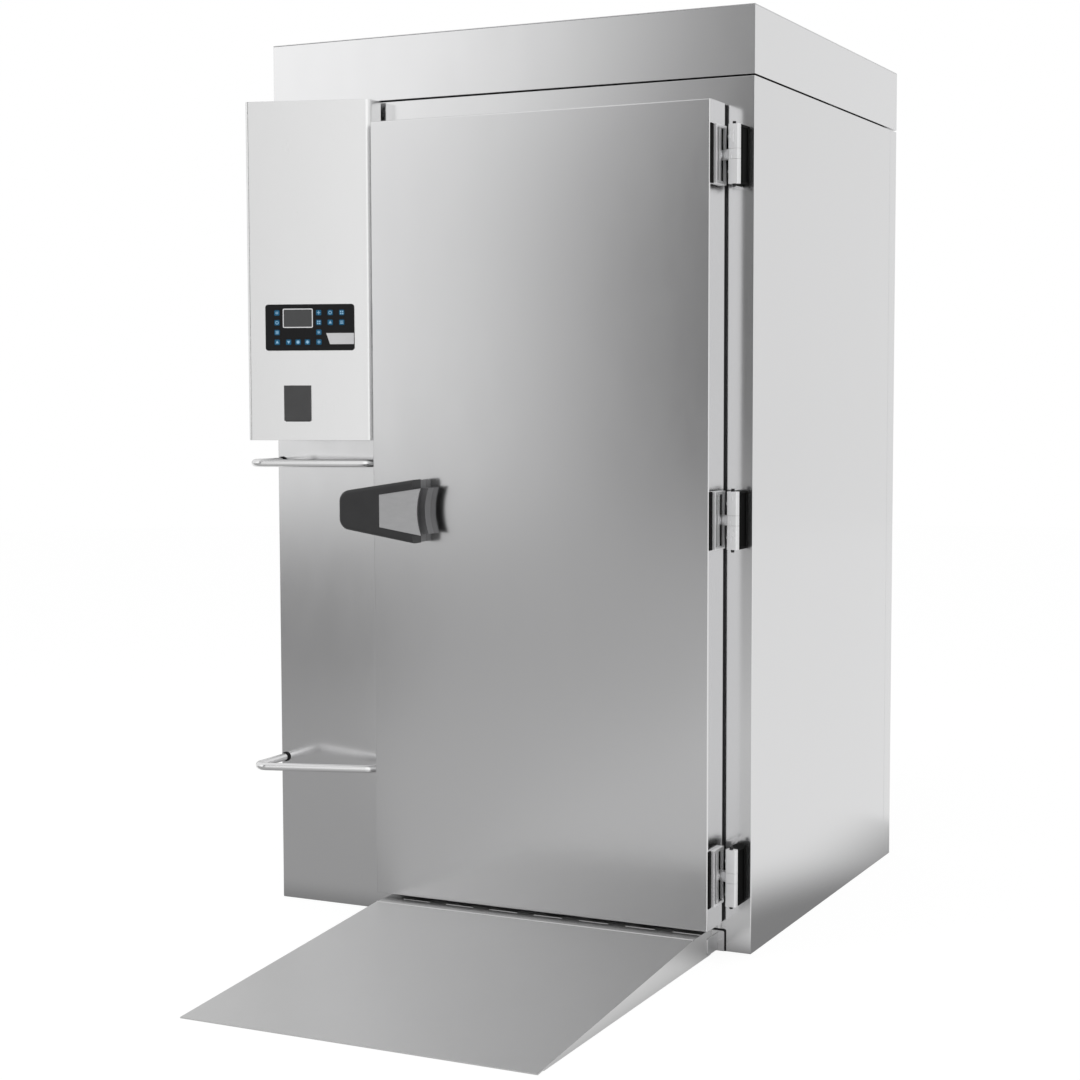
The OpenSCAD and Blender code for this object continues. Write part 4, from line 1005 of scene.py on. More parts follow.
cover = block("box_cover", (low.x, box_corner.y - 0.01, low.z), high)
cut(cover, box_corner, (math.sin(BOX_TURN), -math.cos(BOX_TURN), 0), clear_outer=True)
vertical_rounding(cover, BOX_BEND, lambda v: v.y < high.y - 0.01, 8)
pick_faces(cover, lambda c, n: n.y > 0.9)
bpy.ops.mesh.delete(type="FACE")
thicken(cover, BOX_SHEET)
FLAP_X0, FLAP_W, FLAP_H = 0.1045, 0.075, 0.096
PANEL_X = BOX_FACE - 0.172
FLAP_Z = low.z + 0.053
window = block(
    "cutout",
    (FLAP_X0 + 0.003, -0.02, FLAP_Z - 0.002),
    (FLAP_X0 + FLAP_W - 0.003, 0.02, FLAP_Z + FLAP_H - 0.005),
)
behind = block(
    "cutout", (PANEL_X - 0.100, -0.02, FACE_Z - 0.045), (PANEL_X + 0.100, 0.02, FACE_Z + 0.045)
)
carve(cover, on_face(window), on_face(behind))
fit(soften(cover, 0.0009, 2, 50), box_steel, "cabinet", "box_panel", "control_cover")

low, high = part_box("control_backplate")
plate = block("box_backplate", (low.x, low.y, low.z), (high.x, low.y + BOX_SHEET, high.z))
feet = [
    rod("foot", (x, low.y + 0.001, z), (x, high.y, z), 0.010, 24)
    for x in (low.x + 0.058, high.x - 0.058) for z in (low.z + 0.078, high.z - 0.078)
]
plate = join("box_backplate", [plate, *feet])
fit(soften(plate, 0.0006, 2), rail_steel, "cabinet", "bright_steel", "control_backplate")

# ---- Key panel ----
# A moulded black panel with a fine raised rim, pockets for its keys and its display window,
# and a bare grey label tab at its lower right.
PANEL_W, PANEL_H, PANEL_T = 0.248, 0.125, 0.0024
PANEL_R = 0.008
POCKET_BACK = -0.0006
panel_black, shader, dress = material("panel_black", Specular_IOR_Level=0.22)
dust = shader.noise(40, 5)
print_grain = shader.noise(900, 2)
dress(
    Base_Color=shader.mix(dust, (0.002, 0.002, 0.0025), (0.006, 0.006, 0.007)),
    Roughness=dust * 0.12 + print_grain * 0.08 + 0.26,
    Normal=shader.bump(print_grain, 0.12, 0.00003),
)
silver, shader, dress = material("bezel_silver", Metallic=1.0)
dress(
    Base_Color=shader.mix(shader.noise(300, 2), (0.74, 0.74, 0.75), (0.82, 0.82, 0.83)),
    Roughness=shader.noise(500, 2) * 0.2 + 0.22,
)
tab_grey, shader, dress = material("tab_grey", Coat_Weight=0.1)
dress(
    Base_Color=shader.mix(shader.noise(50, 4), (0.60, 0.60, 0.61), (0.66, 0.66, 0.67)),
    Roughness=shader.noise(700, 2) * 0.15 + 0.35,
)


def face_slab(name, x, z, width, height, y0, y1, corner=0.0, segments=5):
    """A rounded slab on the slanted face, about a place on it, still in the face's axes."""
    slab = block(name, (x - width / 2, y0, z - height / 2), (x + width / 2, y1, z + height / 2))
    if corner:
        through = abs(y1 - y0) * 1.01
        round_edges(
            slab,
            lambda a, b: abs(a.y - b.y) > 0.00005 and (a - b).length < through,
            corner,
            segments,
        )
    return slab


DISPLAY_X, DISPLAY_Z = PANEL_X - 0.033, FACE_Z + 0.025
DISPLAY_W, DISPLAY_H = 0.084, 0.052
KEY_W, KEY_GAP, KEY_PITCH, COLUMN = 0.017, 0.0003, 0.0264, 0.032
first, last = DISPLAY_X - KEY_PITCH - COLUMN, DISPLAY_X + KEY_PITCH + COLUMN
key_spots = [(first, row) for row in (1.5, 0.5, -0.5, -1.5)]
key_spots += [(DISPLAY_X + i * KEY_PITCH, -1.5) for i in (-1, 0, 1)]
key_spots += [(last, row) for row in (-1.5, -0.5, 0.5, 1.5)]
key_spots += [(last + c * COLUMN, row) for c in (1, 2) for row in (0.5, 1.5)]
key_spots = [(x, FACE_Z + row * KEY_PITCH) for x, row in key_spots]

membrane = face_slab("panel_plate", PANEL_X, FACE_Z, PANEL_W, PANEL_H, -PANEL_T, 0, PANEL_R, 6)
pick_faces(membrane, lambda c, n: n.y < -0.9)
bpy.ops.mesh.inset(thickness=0.0022)
bpy.ops.mesh.inset(thickness=0.0006, depth=-0.0003)
deselect()
pocket_w = KEY_W + 2 * KEY_GAP
pockets = [(x, z, pocket_w, pocket_w) for x, z in key_spots]
for x, z, width, height in [*pockets, (DISPLAY_X, DISPLAY_Z, DISPLAY_W, DISPLAY_H)]:
    carve(membrane, face_slab("pocket", x, z, width, height, -0.01, POCKET_BACK))
on_face(membrane)
fit(smooth(membrane), panel_black, "cabinet", "panel_black", "key_panel")

TAB_X0, TAB_X1 = PANEL_X + 0.0460, PANEL_X + 0.1229
tab = block(
    "label_tab",
    (TAB_X0, -PANEL_T - 0.0003, FACE_Z - 0.0457),
    (TAB_X1, -PANEL_T + 0.0004, FACE_Z - 0.0157),
)
mesh = edit(tab, "VERT")
for v in mesh.verts:
    if v.co.x < TAB_X0 + 0.01 and v.co.z < FACE_Z - 0.03:
        v.co.x += 0.0104
bmesh.update_edit_mesh(tab.data)
deselect()
on_face(tab)
fit(soften(tab, 0.00012, 1), tab_grey, "cabinet", "panel_black")

# ---- Display window ----
# A smoked glass pane over the display, in a pocket of the key panel, with a thin silver bezel
# over its rim.
smoke, shader, dress = material("window_smoke", Coat_Weight=0.3)
glow = shader.noise(30, 3)
dress(
    Base_Color=shader.mix(glow, (0.022, 0.023, 0.024), (0.034, 0.035, 0.036)),
    Roughness=glow * 0.05 + 0.12,
)
pane = face_slab(
    "display_pane", DISPLAY_X, DISPLAY_Z, DISPLAY_W, DISPLAY_H,
    -PANEL_T + 0.0002, POCKET_BACK, 0.0015, 3,
)
on_face(pane)
fit(smooth(pane), smoke, "cabinet", "window_smoke", "display_window")
bezel = face_slab(
    "display_bezel", DISPLAY_X, DISPLAY_Z, DISPLAY_W, DISPLAY_H,
    -PANEL_T - 0.0004, -PANEL_T + 0.0003, 0.004, 5,
)
opening = face_slab(
    "opening", DISPLAY_X, DISPLAY_Z, DISPLAY_W - 0.0052, DISPLAY_H - 0.0052, -0.01, 0.01, 0.0022, 4
)
carve(bezel, opening)
on_face(bezel)
fit(smooth(bezel), silver, "cabinet", "window_smoke")

# ---- Keys ----
# Fifteen membrane keys: each is a black cap with a printed cyan square and a pale sign on it.
# The signs are plain pictograms, and each key sinks into its pocket by its small travel.
print_cyan, shader, dress = material("print_cyan", Specular_IOR_Level=0.25)
ink = shader.noise(500, 3)
dress(
    Base_Color=shader.mix(ink, (0.006, 0.075, 0.16), (0.012, 0.13, 0.25)),
    Roughness=ink * 0.2 + 0.35,
)
print_pale, shader, dress = material("print_pale", Specular_IOR_Level=0.25)
ink = shader.noise(500, 3)
dress(
    Base_Color=shader.mix(ink, (0.26, 0.48, 0.68), (0.36, 0.60, 0.80)),
    Roughness=ink * 0.2 + 0.35,
)
CAP_FRONT = -PANEL_T - 0.0001
INK = 0.00006


def sign_shape(x, z, sides, radius, turn=0.0):
    """A flat printed polygon or disc on a key."""
    deselect()
    bpy.ops.mesh.primitive_cylinder_add(
        vertices=sides, radius=radius, depth=2 * INK, location=(x, CAP_FRONT - INK, z),
        rotation=(math.radians(90), math.radians(turn), 0),
    )
    return settle(bpy.context.object)


def sign_bar(x, z, width, height):
    """A flat printed bar on a key."""
    return face_slab("bar", x, z, width, height, CAP_FRONT - 2 * INK, CAP_FRONT)


def sign(kind, x, z):
    """The shapes of one key's sign about the key's middle."""
    if kind == "up":
        return [sign_shape(x, z - 0.0005, 3, 0.0052)]
    if kind == "down":
        return [sign_shape(x, z + 0.0005, 3, 0.0052, 180)]
    if kind == "bars":
        return [sign_bar(x, z + i * 0.0032, 0.0085, 0.0016) for i in (-1, 0, 1)]
    if kind == "plus":
        return [sign_bar(x, z, 0.009, 0.002), sign_bar(x, z, 0.002, 0.009)]
    if kind == "ring":
        ring = sign_shape(x, z, 24, 0.0046)
        return [carve(ring, rod("hole", (x, -0.01, z), (x, 0, z), 0.0030, 24))]
    if kind == "disc":
        return [sign_shape(x, z, 24, 0.0044)]
    if kind == "diamond":
        return [sign_shape(x, z, 4, 0.0052)]
    if kind == "star":
        return [sign_shape(x, z, 3, 0.0050), sign_shape(x, z, 3, 0.0050, 180)]
    return [
        sign_bar(x + dx * 0.0027, z + dz * 0.0027, 0.0036, 0.0036) for dx in (-1, 1) for dz in (-1, 1)
    ]


kinds = (
    "star", "ring", "bars", "up", "down", "disc", "diamond", "plus",
    "star", "squares", "plus", "up", "ring", "bars", "squares",
)
for i, ((x, z), kind) in enumerate(zip(key_spots, kinds), 1):
    key = f"key_{i}"
    cap = face_slab(key, x, z, KEY_W, KEY_W, CAP_FRONT, CAP_FRONT + 0.0013, 0.002, 4)
    fit(smooth(on_face(cap)), panel_black, key, "key_blue", key)
    ground = face_slab(f"{key}_ground", x, z, 0.0145, 0.0145, CAP_FRONT - INK, CAP_FRONT, 0.003, 4)
    fit(smooth(on_face(ground)), print_cyan, key, "key_blue")
    shapes = join(f"{key}_sign", sign(kind, x, z))
    fit(smooth(on_face(shapes)), print_pale, key, "key_blue")

# ---- Printer ----
# A label printer behind the cover: a moulded case with an open throat and two round lugs, and
# a dark grey flap that hides them and turns down on short pins at its bottom edge.
flap_grey, shader, dress = material("flap_grey")
grain = shader.noise(1200, 2)
shine = shader.noise(30, 4)
dress(
    Base_Color=shader.mix(shine, (0.040, 0.040, 0.041), (0.056, 0.056, 0.057)),
    Roughness=grain * 0.12 + shine * 0.08 + 0.32,
    Normal=shader.bump(grain, 0.3, 0.00004),
)
PIN_DY, PIN_DZ = -0.002, FLAP_Z + 0.0015
LUG_X = (FLAP_X0 + 0.004, FLAP_X0 + FLAP_W - 0.008)
LUG_T, LUG_GAP = 0.004, 0.0004
case = block(
    "printer_case",
    (FLAP_X0 - 0.008, BOX_SHEET, FLAP_Z - 0.010),
    (FLAP_X0 + FLAP_W + 0.008, BOX_SHEET + 0.062, FLAP_Z + FLAP_H + 0.006),
)
throat = block(
    "throat",
    (FLAP_X0 + 0.006, 0, FLAP_Z + 0.012),
    (FLAP_X0 + FLAP_W - 0.006, BOX_SHEET + 0.059, FLAP_Z + FLAP_H - 0.006),
)
round_edges(throat, lambda a, b: abs(a.y - b.y) > 0.01, 0.004, 4)
carve(case, throat)
soften(case, 0.001, 2, 50)
lugs = []
for x in LUG_X:
    lug = rod("lug", (x, PIN_DY, PIN_DZ), (x + LUG_T, PIN_DY, PIN_DZ), 0.00145, 24)
    leg_half = 0.0012
    leg = block("leg", (x, PIN_DY, PIN_DZ - leg_half), (x + LUG_T, BOX_SHEET + 0.001, PIN_DZ + leg_half))
    carve(lug, leg, mode="UNION")
    carve(lug, rod("bore", (x - 0.001, PIN_DY, PIN_DZ), (x + LUG_T + 0.001, PIN_DY, PIN_DZ), 0.00105, 24))
    lugs.append(smooth(lug))
tear_bar = block(
    "tear_bar",
    (FLAP_X0 + 0.006, BOX_SHEET + 0.004, FLAP_Z + 0.030),
    (FLAP_X0 + FLAP_W - 0.006, BOX_SHEET + 0.007, FLAP_Z + 0.033),
)
case = join("printer_case", [case, *lugs, soften(tear_bar, 0.0005, 2)])
fit(on_face(case), mould, "cabinet", "black_plastic", "printer_body")

FLAP_BACK, FLAP_FRONT = PIN_DY + 0.0015, PIN_DY - 0.0015
flap = block("printer_flap", (FLAP_X0, FLAP_FRONT, FLAP_Z), (FLAP_X0 + FLAP_W, FLAP_BACK, FLAP_Z + FLAP_H))
for x in LUG_X:
    room_low = (x - LUG_GAP, FLAP_FRONT, FLAP_Z - 0.001)
    room_high = (x + LUG_T + LUG_GAP, FLAP_BACK + 0.001, FLAP_Z + 0.005)
    carve(flap, block("room", room_low, room_high))
skin = face_slab(
    "flap_skin", FLAP_X0 + FLAP_W / 2, FLAP_Z + FLAP_H / 2, FLAP_W, FLAP_H,
    FLAP_FRONT - 0.0008, FLAP_FRONT + 0.0001, 0.0012, 3,
)
pins = [
    rod("pin", (x - 0.0006, PIN_DY, PIN_DZ), (x + LUG_T + 0.0006, PIN_DY, PIN_DZ), 0.001, 16)
    for x in LUG_X
]
flap = join("printer_flap", [soften(flap, 0.0003, 2), soften(skin, 0.0002, 2), *pins])
fit(on_face(flap), flap_grey, "printer_flap", "black_plastic", "printer_flap")

# ---- Controller board ----
# The circuit board behind the key panel: green laminate with a sheen on four pillars that
# stand on the cover's inside, and a black block of relays on its back.
laminate, shader, dress = material("laminate", Coat_Weight=0.3)
tracks = shader.noise(180, 2)
dress(
    Base_Color=shader.mix(tracks.smoothstep(0.45, 0.55), (0.010, 0.10, 0.045), (0.02, 0.16, 0.07)),
    Roughness=tracks * 0.2 + 0.3,
)
BOARD_Y = BOX_SHEET + 0.010
board = face_slab("controller_board", PANEL_X, FACE_Z, 0.236, 0.131, BOARD_Y, BOARD_Y + 0.002, 0.003, 3)
pillars = []
for dx in (-1, 1):
    for dz in (-1, 1):
        x, z = PANEL_X + dx * 0.112, FACE_Z + dz * 0.0595
        pillars.append(rod("pillar", (x, BOX_SHEET, z), (x, BOARD_Y + 0.001, z), 0.004, 20))
board = join("controller_board", [soften(board, 0.0003, 1), *pillars])
fit(on_face(smooth(board)), laminate, "cabinet", "board_green", "controller_board")
relays = [
    face_slab(
        "relay", PANEL_X - 0.0597 + i * 0.0204, FACE_Z, 0.0192, 0.050, BOARD_Y + 0.0021, BOARD_Y + 0.022
    )
    for i in range(3)
]
fit(on_face(soften(join("board_relays", relays), 0.001, 2)), mould, "cabinet", "board_green")

# ---- Evaporator coil ----
# A pack of thin aluminium fins on copper tubes with return bends, between two end plates that
# reach down past the fins and are folded over at their tops.
low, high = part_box("evaporator_coil")
COIL_X0, COIL_X1 = low.x + 0.006, high.x
COIL_Y = 0.430
COIL_H = 1.6
COIL_Z0, COIL_Z1 = high.z - COIL_H, high.z
FIN_COUNT, FIN_PITCH, FIN_T = 131, 0.0066, 0.0004
PLATE_T = 0.003
coil_metal = stainless("coil_metal", (0.70, 0.71, 0.72), 0.38, (1, 1, 1), 0.000004, 0.05, 0.05)
fin = block("coil_fins", (COIL_X0, -COIL_Y, COIL_Z0), (COIL_X1, -COIL_Y + FIN_T, COIL_Z1))
only(fin)
pack = fin.modifiers.new("pack", "ARRAY")
pack.count = FIN_COUNT
pack.use_relative_offset = False
pack.use_constant_offset = True
pack.constant_offset_displace = (0, FIN_PITCH, 0)
bpy.ops.object.modifier_apply(modifier=pack.name)
fit(smooth(fin), coil_metal, "cabinet", "coil_metal", "evaporator_coil")
plates = []
for y in (-COIL_Y - 0.004, COIL_Y + 0.001):
    plate = block("plate", (low.x, y, low.z), (COIL_X1, y + PLATE_T, COIL_Z1))
    y0, y1 = sorted((y + PLATE_T / 2, y + PLATE_T / 2 + math.copysign(0.016, -y)))
    fold = block("fold", (COIL_X0, y0, COIL_Z1 - PLATE_T), (COIL_X1, y1, COIL_Z1))
    plates += [soften(plate, 0.0006, 2), soften(fold, 0.0006, 2)]
fit(join("coil_plates", plates), rail_steel, "cabinet", "coil_metal")

copper, shader, dress = material("copper", Metallic=1.0)
tarnish = shader.noise(14, 5)
fine = shader.noise(220, 3)
dress(
    Base_Color=shader.mix(tarnish.smoothstep(0.35, 0.7), (0.78, 0.38, 0.22), (0.42, 0.19, 0.11)),
    Roughness=tarnish * 0.22 + fine * 0.10 + 0.16,
    Normal=shader.bump(fine, 0.2, 0.00005),
)
TUBE_ROWS, TUBE_R = 8, 0.008
mid_x, tube_dx = COIL_X0 + 0.065, 0.0325
tubes = []
for row in range(TUBE_ROWS):
    z = COIL_Z0 + (row + 0.5) * COIL_H / TUBE_ROWS
    for side in (-1, 1):
        end = side * (COIL_Y + 0.006 + tube_dx)
        x0, x1 = mid_x - tube_dx, mid_x + tube_dx
        route = [(x0, 0, z), (x0, end, z), (x1, end, z), (x1, 0, z)]
        tubes.append(bent_tube("tube", route, TUBE_R, tube_dx * 0.98, 16))
fit(join("coil_tubes", tubes), copper, "cabinet", "copper")

# ---- Drain pan ----
# A thin stainless tray under the coil, open at its top, with the middle of its floor pressed
# a little lower than the rest.
low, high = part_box("drain_pan")
tray = block("drain_tray", low, high)
pick_faces(tray, lambda c, n: n.z > 0.9)
bpy.ops.mesh.inset(thickness=0.002)
push((0, 0, -(high.z - low.z - 0.0035)))
bpy.ops.mesh.inset(thickness=0.030)
push((0, 0, -0.0012))
deselect()
fit(soften(tray, 0.0006, 2, 50), rail_steel, "cabinet", "bright_steel", "drain_pan")

# ---- Wall bumpers ----
# Two satin stainless bars with round edges on turned stand-offs, which keep a rack trolley
# off the right wall.
low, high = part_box("wall_bumpers")
bumpers = []
BAR_HALF, BAR_T = 0.035, 0.014
for z in (low.z + BAR_HALF, high.z - BAR_HALF):
    bar = block("bar", (low.x, low.y, z - BAR_HALF), (low.x + BAR_T, high.y, z + BAR_HALF))
    round_edges(bar, lambda a, b: abs(a.y - b.y) > 0.1, 0.0055, 5)
    bumpers.append(soften(bar, 0.0015, 2, 50))
    for y in (low.y + 0.080, high.y - 0.080):
        for name, x, r in (("stand", low.x + 0.010, 0.011), ("flange", high.x - 0.004, 0.014)):
            bumpers.append(soften(rod(name, (x, y, z), (high.x, y, z), r, 28), 0.001, 2))
fit(join("bumper_bars", bumpers), rail_steel, "cabinet", "bright_steel", "wall_bumpers")

# ---- Refrigerant pipes ----
# The suction and the liquid pipe: copper tubes that run from the coil's end up through the
# roof and out of the cowl's back, each in one bent length.
low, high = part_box("refrigerant_pipes")
pipes = []
for x, y, r in (SUCTION_PIPE, LIQUID_PIPE):
    z = COIL_Z1 - 0.06
    route = [(x, low.y, z), (x, y, z), (x, y, PIPE_Z), (x, high.y, PIPE_Z)]
    pipes.append(bent_tube("pipe", route, r - 0.0001, 2.2 * r))
fit(join("refrigerant_pipes", pipes), copper, "cabinet", "copper", "refrigerant_pipes")

# ---- Fan panel ----
# A folded stainless sheet that swings on two pins at its back edge for cleaning the coil, with
# a rolled ring round each fan and a corner block at each pin.
low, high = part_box("fan_panel")
FOLD_DEPTH = 0.014
PANEL_X0, PANEL_X1 = high.x - FOLD_DEPTH, high.x
FAN_Y, FAN_Z = 0.080, (0.620, 1.560)
RING_R, RING_BACK = 0.248, low.x
FAN_SHEET = 0.0025
panel_z0, panel_z1 = 0.085, 2.125
sheet = block("fan_panel_sheet", (PANEL_X0, low.y, panel_z0), (PANEL_X1, high.y, panel_z1))
sink(sheet, lambda c, n: n.x < -0.9, FAN_SHEET, (FOLD_DEPTH - FAN_SHEET, 0, 0))
for z in FAN_Z:
    carve(sheet, rod("mouth", (PANEL_X0 - 0.01, FAN_Y, z), (PANEL_X1 + 0.01, FAN_Y, z), RING_R, 96))
soften(sheet, 0.0008, 2, 50)
fan_parts = [sheet]
for z in FAN_Z:
    ring = rod("ring", (RING_BACK, FAN_Y, z), (PANEL_X1, FAN_Y, z), RING_R + 0.003, 96)
    carve(ring, rod("mouth", (RING_BACK - 0.01, FAN_Y, z), (PANEL_X1 + 0.01, FAN_Y, z), RING_R, 96))
    fan_parts.append(soften(ring, 0.0009, 2, 50))
CORNER_H, PIVOT_PIN_R = 0.040, 0.007
for z in (panel_z0, panel_z1 - CORNER_H):
    corner_high = (PANEL_X1 - 0.0003, high.y - 0.0003, z + CORNER_H)
    corner = block("corner", (PANEL_X0, pivot.y - 0.012, z), corner_high)
    fan_parts.append(soften(corner, 0.001, 2))
for z0, z1 in ((low.z, panel_z0 + 0.001), (panel_z1 - 0.001, high.z)):
    pin = rod("pin", (pivot.x, pivot.y, z0), (pivot.x, pivot.y, z1), PIVOT_PIN_R, 32)
    fan_parts.append(soften(pin, 0.0008, 2))
fit(join("fan_panel_sheet", fan_parts), rail_steel, "air_panel", "bright_steel", "fan_panel")

# ---- Fan motors ----
# Two external-rotor motors in dark grey enamel, each on four flat steel arms bolted back to
# the panel, with a ribbed case and a round shaft through the fan.
enamel, shader, dress = material("enamel_grey")
grain = shader.noise(420, 3)
cloud = shader.noise(12, 4)
dress(
    Base_Color=shader.mix(cloud, (0.055, 0.057, 0.062), (0.09, 0.092, 0.098)),
    Roughness=grain * 0.15 + cloud * 0.12 + 0.28,
    Normal=shader.bump(grain, 0.2, 0.00008),
)
low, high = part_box("fan_motors")
MOTOR_X0, MOTOR_R, MOTOR_L = low.x, 0.072, 0.066
LEG_R = RING_R + 0.006
motors, shafts = [], []
for z in FAN_Z:
    case = rod("case", (MOTOR_X0, FAN_Y, z), (MOTOR_X0 + MOTOR_L, FAN_Y, z), MOTOR_R, 64)
    for i in range(4):
        x = MOTOR_X0 + 0.016 + i * 0.011
        groove = rod("groove", (x, FAN_Y, z), (x + 0.004, FAN_Y, z), MOTOR_R + 0.01, 64)
        carve(groove, rod("core", (x - 0.01, FAN_Y, z), (x + 0.02, FAN_Y, z), MOTOR_R - 0.004, 64))
        carve(case, groove)
    sink(case, lambda c, n: n.x < -0.9, 0.022, (0.004, 0, 0))
    motors.append(soften(case, 0.0015, 2, 50))
    motor_x1 = MOTOR_X0 + MOTOR_L
    shaft = rod("shaft", (motor_x1 - 0.001, FAN_Y, z), (motor_x1 + 0.065, FAN_Y, z), 0.008, 32)
    shafts.append(smooth(shaft))
    for turn in (45, 135, 225, 315):
        about_fan = Matrix.Translation((0, FAN_Y, z)) @ Matrix.Rotation(math.radians(turn), 4, "X")
        spans = ((MOTOR_X0 + 0.005, MOTOR_R - 0.006), (PANEL_X1 - FAN_SHEET, LEG_R))
        for x1, r0 in spans:
            arm = block("arm", (MOTOR_X0, r0, -0.006), (x1, LEG_R + 0.004, 0.006))
            arm.matrix_world = about_fan
            shafts.append(soften(settle(arm), 0.0008, 2))
fit(join("motor_cases", motors), enamel, "air_panel", "motor_grey", "fan_motors")
fit(join("motor_mounts", shafts), rail_steel, "air_panel", "motor_grey")

# ---- Fan guards ----
# Wire guards on the chamber side of the fans: ten concentric rings of drawn wire, welded to
# six spokes behind them.
low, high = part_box("fan_guards")
GUARD_IN, GUARD_OUT, RINGS = 0.050, 0.260, 10
wires = []
for z in FAN_Z:
    for i in range(RINGS):
        r = GUARD_IN + (GUARD_OUT - GUARD_IN - 0.002) * i / (RINGS - 1)
        deselect()
        bpy.ops.mesh.primitive_torus_add(
            major_radius=r, minor_radius=0.0015, major_segments=72, minor_segments=8,
            location=(high.x - 0.0016, FAN_Y, z), rotation=(0, math.radians(90), 0),
        )
        wires.append(settle(bpy.context.object))
    for i in range(6):
        a = math.radians(60 * i + 90)
        out = Vector((0, math.cos(a), math.sin(a)))
        centre = Vector((low.x + 0.0018, FAN_Y, z))
        wires.append(rod("spoke", centre + out * (GUARD_IN - 0.002), centre + out * GUARD_OUT, 0.0018, 10))
fit(smooth(join("guard_wires", wires), 60), rail_steel, "air_panel", "bright_steel", "fan_guards")

# ---- Fans ----
# Two axial fans moulded in dark grey: a domed hub and five swept blades that thin toward
# their tips, turning on the motor's shaft.
low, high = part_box("lower_fan")
HUB_R, TIP_R, BLADES, BLADE_T = 0.062, 0.240, 5, 0.003
for name, z in (("lower_fan", FAN_Z[0]), ("upper_fan", FAN_Z[1])):
    hub = rod("hub", (low.x, FAN_Y, z), (high.x, FAN_Y, z), HUB_R, 64)
    round_rim(hub, lambda c, n: n.x > 0.9, 0.012, 5)
    carve(hub, rod("bore", (low.x - 0.01, FAN_Y, z), (high.x + 0.01, FAN_Y, z), 0.00805, 32))
    parts = [smooth(hub)]
    for i in range(BLADES):
        deselect()
        bpy.ops.mesh.primitive_grid_add(x_subdivisions=10, y_subdivisions=8, size=2)
        blade = bpy.context.object
        mesh = edit(blade, "VERT")
        for v in mesh.verts:
            u, w = (v.co.x + 1) / 2, v.co.y
            r = HUB_R - 0.006 + u * (TIP_R - HUB_R + 0.006)
            half = math.radians(26 - 4 * u)
            a = math.tau * i / BLADES + math.radians(16) * u + w * half
            camber = 0.006 * (1 - w * w)
            x = (low.x + high.x) / 2 + w * (0.0235 - 0.007 * u) + camber - 0.003
            v.co = Vector((x, FAN_Y + r * math.cos(a), z + r * math.sin(a)))
        bmesh.update_edit_mesh(blade.data)
        thicken(blade, BLADE_T, 0)
        parts.append(smooth(blade, 50))
    fit(join(f"{name}_rotor", parts), enamel, name, "motor_grey", name)

# ---- Floor, light and camera ----
# A pale studio, white where the camera sees it, with soft lights overhead and at the front left
# and the camera at the photograph's place. In steel, the floor and the room grade from dusky to
# bright by direction, and the floor seen in steel carries a painted shadow, darker close to the
# cabinet. A painted shadow makes the floor dark under the ramp where the camera sees it, through
# the ramp's drain slots.
CABINET_X, CABINET_Y = 0.708, 0.633


def low_front(x):
    """What steel sees low in front of it, by the sideways part of the direction: bright at the
    right, dusky at the left."""
    levels = (
        (-0.56, 0.26), (-0.51, 0.33), (-0.48, 0.49), (-0.42, 0.50),
        (-0.36, 0.50), (-0.16, 0.56), (-0.04, 0.95), (0.30, 1.16),
    )
    return x.tone_curve(levels)


def rays(shader):
    """How the surface is being seen: straight or through glass, and in a reflection."""
    outputs = shader.node("ShaderNodeLightPath").socket.node.outputs
    names = ("Is Camera Ray", "Is Transmission Ray", "Is Glossy Ray")
    camera, through, glossy = (Shader(shader.tree, outputs[name]) for name in names)
    return shader.math("MAXIMUM", camera, through), glossy


studio_floor = bpy.data.materials.new("studio_floor")
studio_floor.use_nodes = True
tree = studio_floor.node_tree
shader = Shader(tree)
surface = tree.nodes["Principled BSDF"]
surface.inputs["Base Color"].default_value = (0.93, 0.93, 0.93, 1)
surface.inputs["Roughness"].default_value = 0.9
seen, glossy = rays(shader)
x, y = shader.axes()[:2]
away = shader.node("ShaderNodeCombineXYZ", inputs={"X": x + 0.2, "Y": y + 0.7, "Z": 0.0})
bearing = shader.node("ShaderNodeVectorMath", {"operation": "NORMALIZE"}, {0: away})
bearing = shader.node("ShaderNodeSeparateXYZ", inputs={"Vector": bearing})
ramp_low, ramp_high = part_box("ramp")
# Painted shadow of the ramp: a mask that darkens the floor under the ramp where the camera sees it.
ramp_shadow = x.smoothstep(ramp_low.x, ramp_low.x + 0.01) * x.smoothstep(ramp_high.x, ramp_high.x - 0.01)
ramp_shadow = ramp_shadow * y.smoothstep(ramp_low.y + 0.10, ramp_low.y + 0.30) * y.smoothstep(0.0, -0.2)
# What the floor shows in steel is a painted shadow of the cabinet: dark close to its sides and front,
# brighter further off.
beside = shader.math("ABSOLUTE", x) + y.smoothstep(-0.6, 0.6) * 0.28
beside = beside.smoothstep(CABINET_X + 0.12, CABINET_X + 0.60)
beside = shader.math("MAXIMUM", beside, y.smoothstep(CABINET_Y + 0.10, CABINET_Y + 0.60))
before = y.smoothstep(-0.60, -0.85)
near = y.smoothstep(-6.0, -2.5)
close = bearing.smoothstep(-0.62, -0.50) * 0.14 + bearing.smoothstep(-0.45, -0.05) * 0.10 + 0.40
right_side = x.smoothstep(0.60, 0.72)
ahead = near * close + (1 - near) * low_front(bearing)
ahead = ahead * (1 - right_side) + right_side * (x.smoothstep(0.8, 1.6) * 0.2 + 0.95)
in_metal = (beside * 0.68 + 0.26) * (1 - before) + before * ahead
level = seen * (1.06 - ramp_shadow * 1.04) + glossy * in_metal
lit = shader.node("ShaderNodeEmission", inputs={"Color": (1, 1, 1, 1), "Strength": level})
blend = shader.node(
    "ShaderNodeMixShader",
    inputs={0: seen * 0.86 + glossy * 0.97, 1: Shader(tree, surface.outputs[0]), 2: lit},
)
tree.links.new(blend.socket, tree.nodes["Material Output"].inputs["Surface"])
deselect()
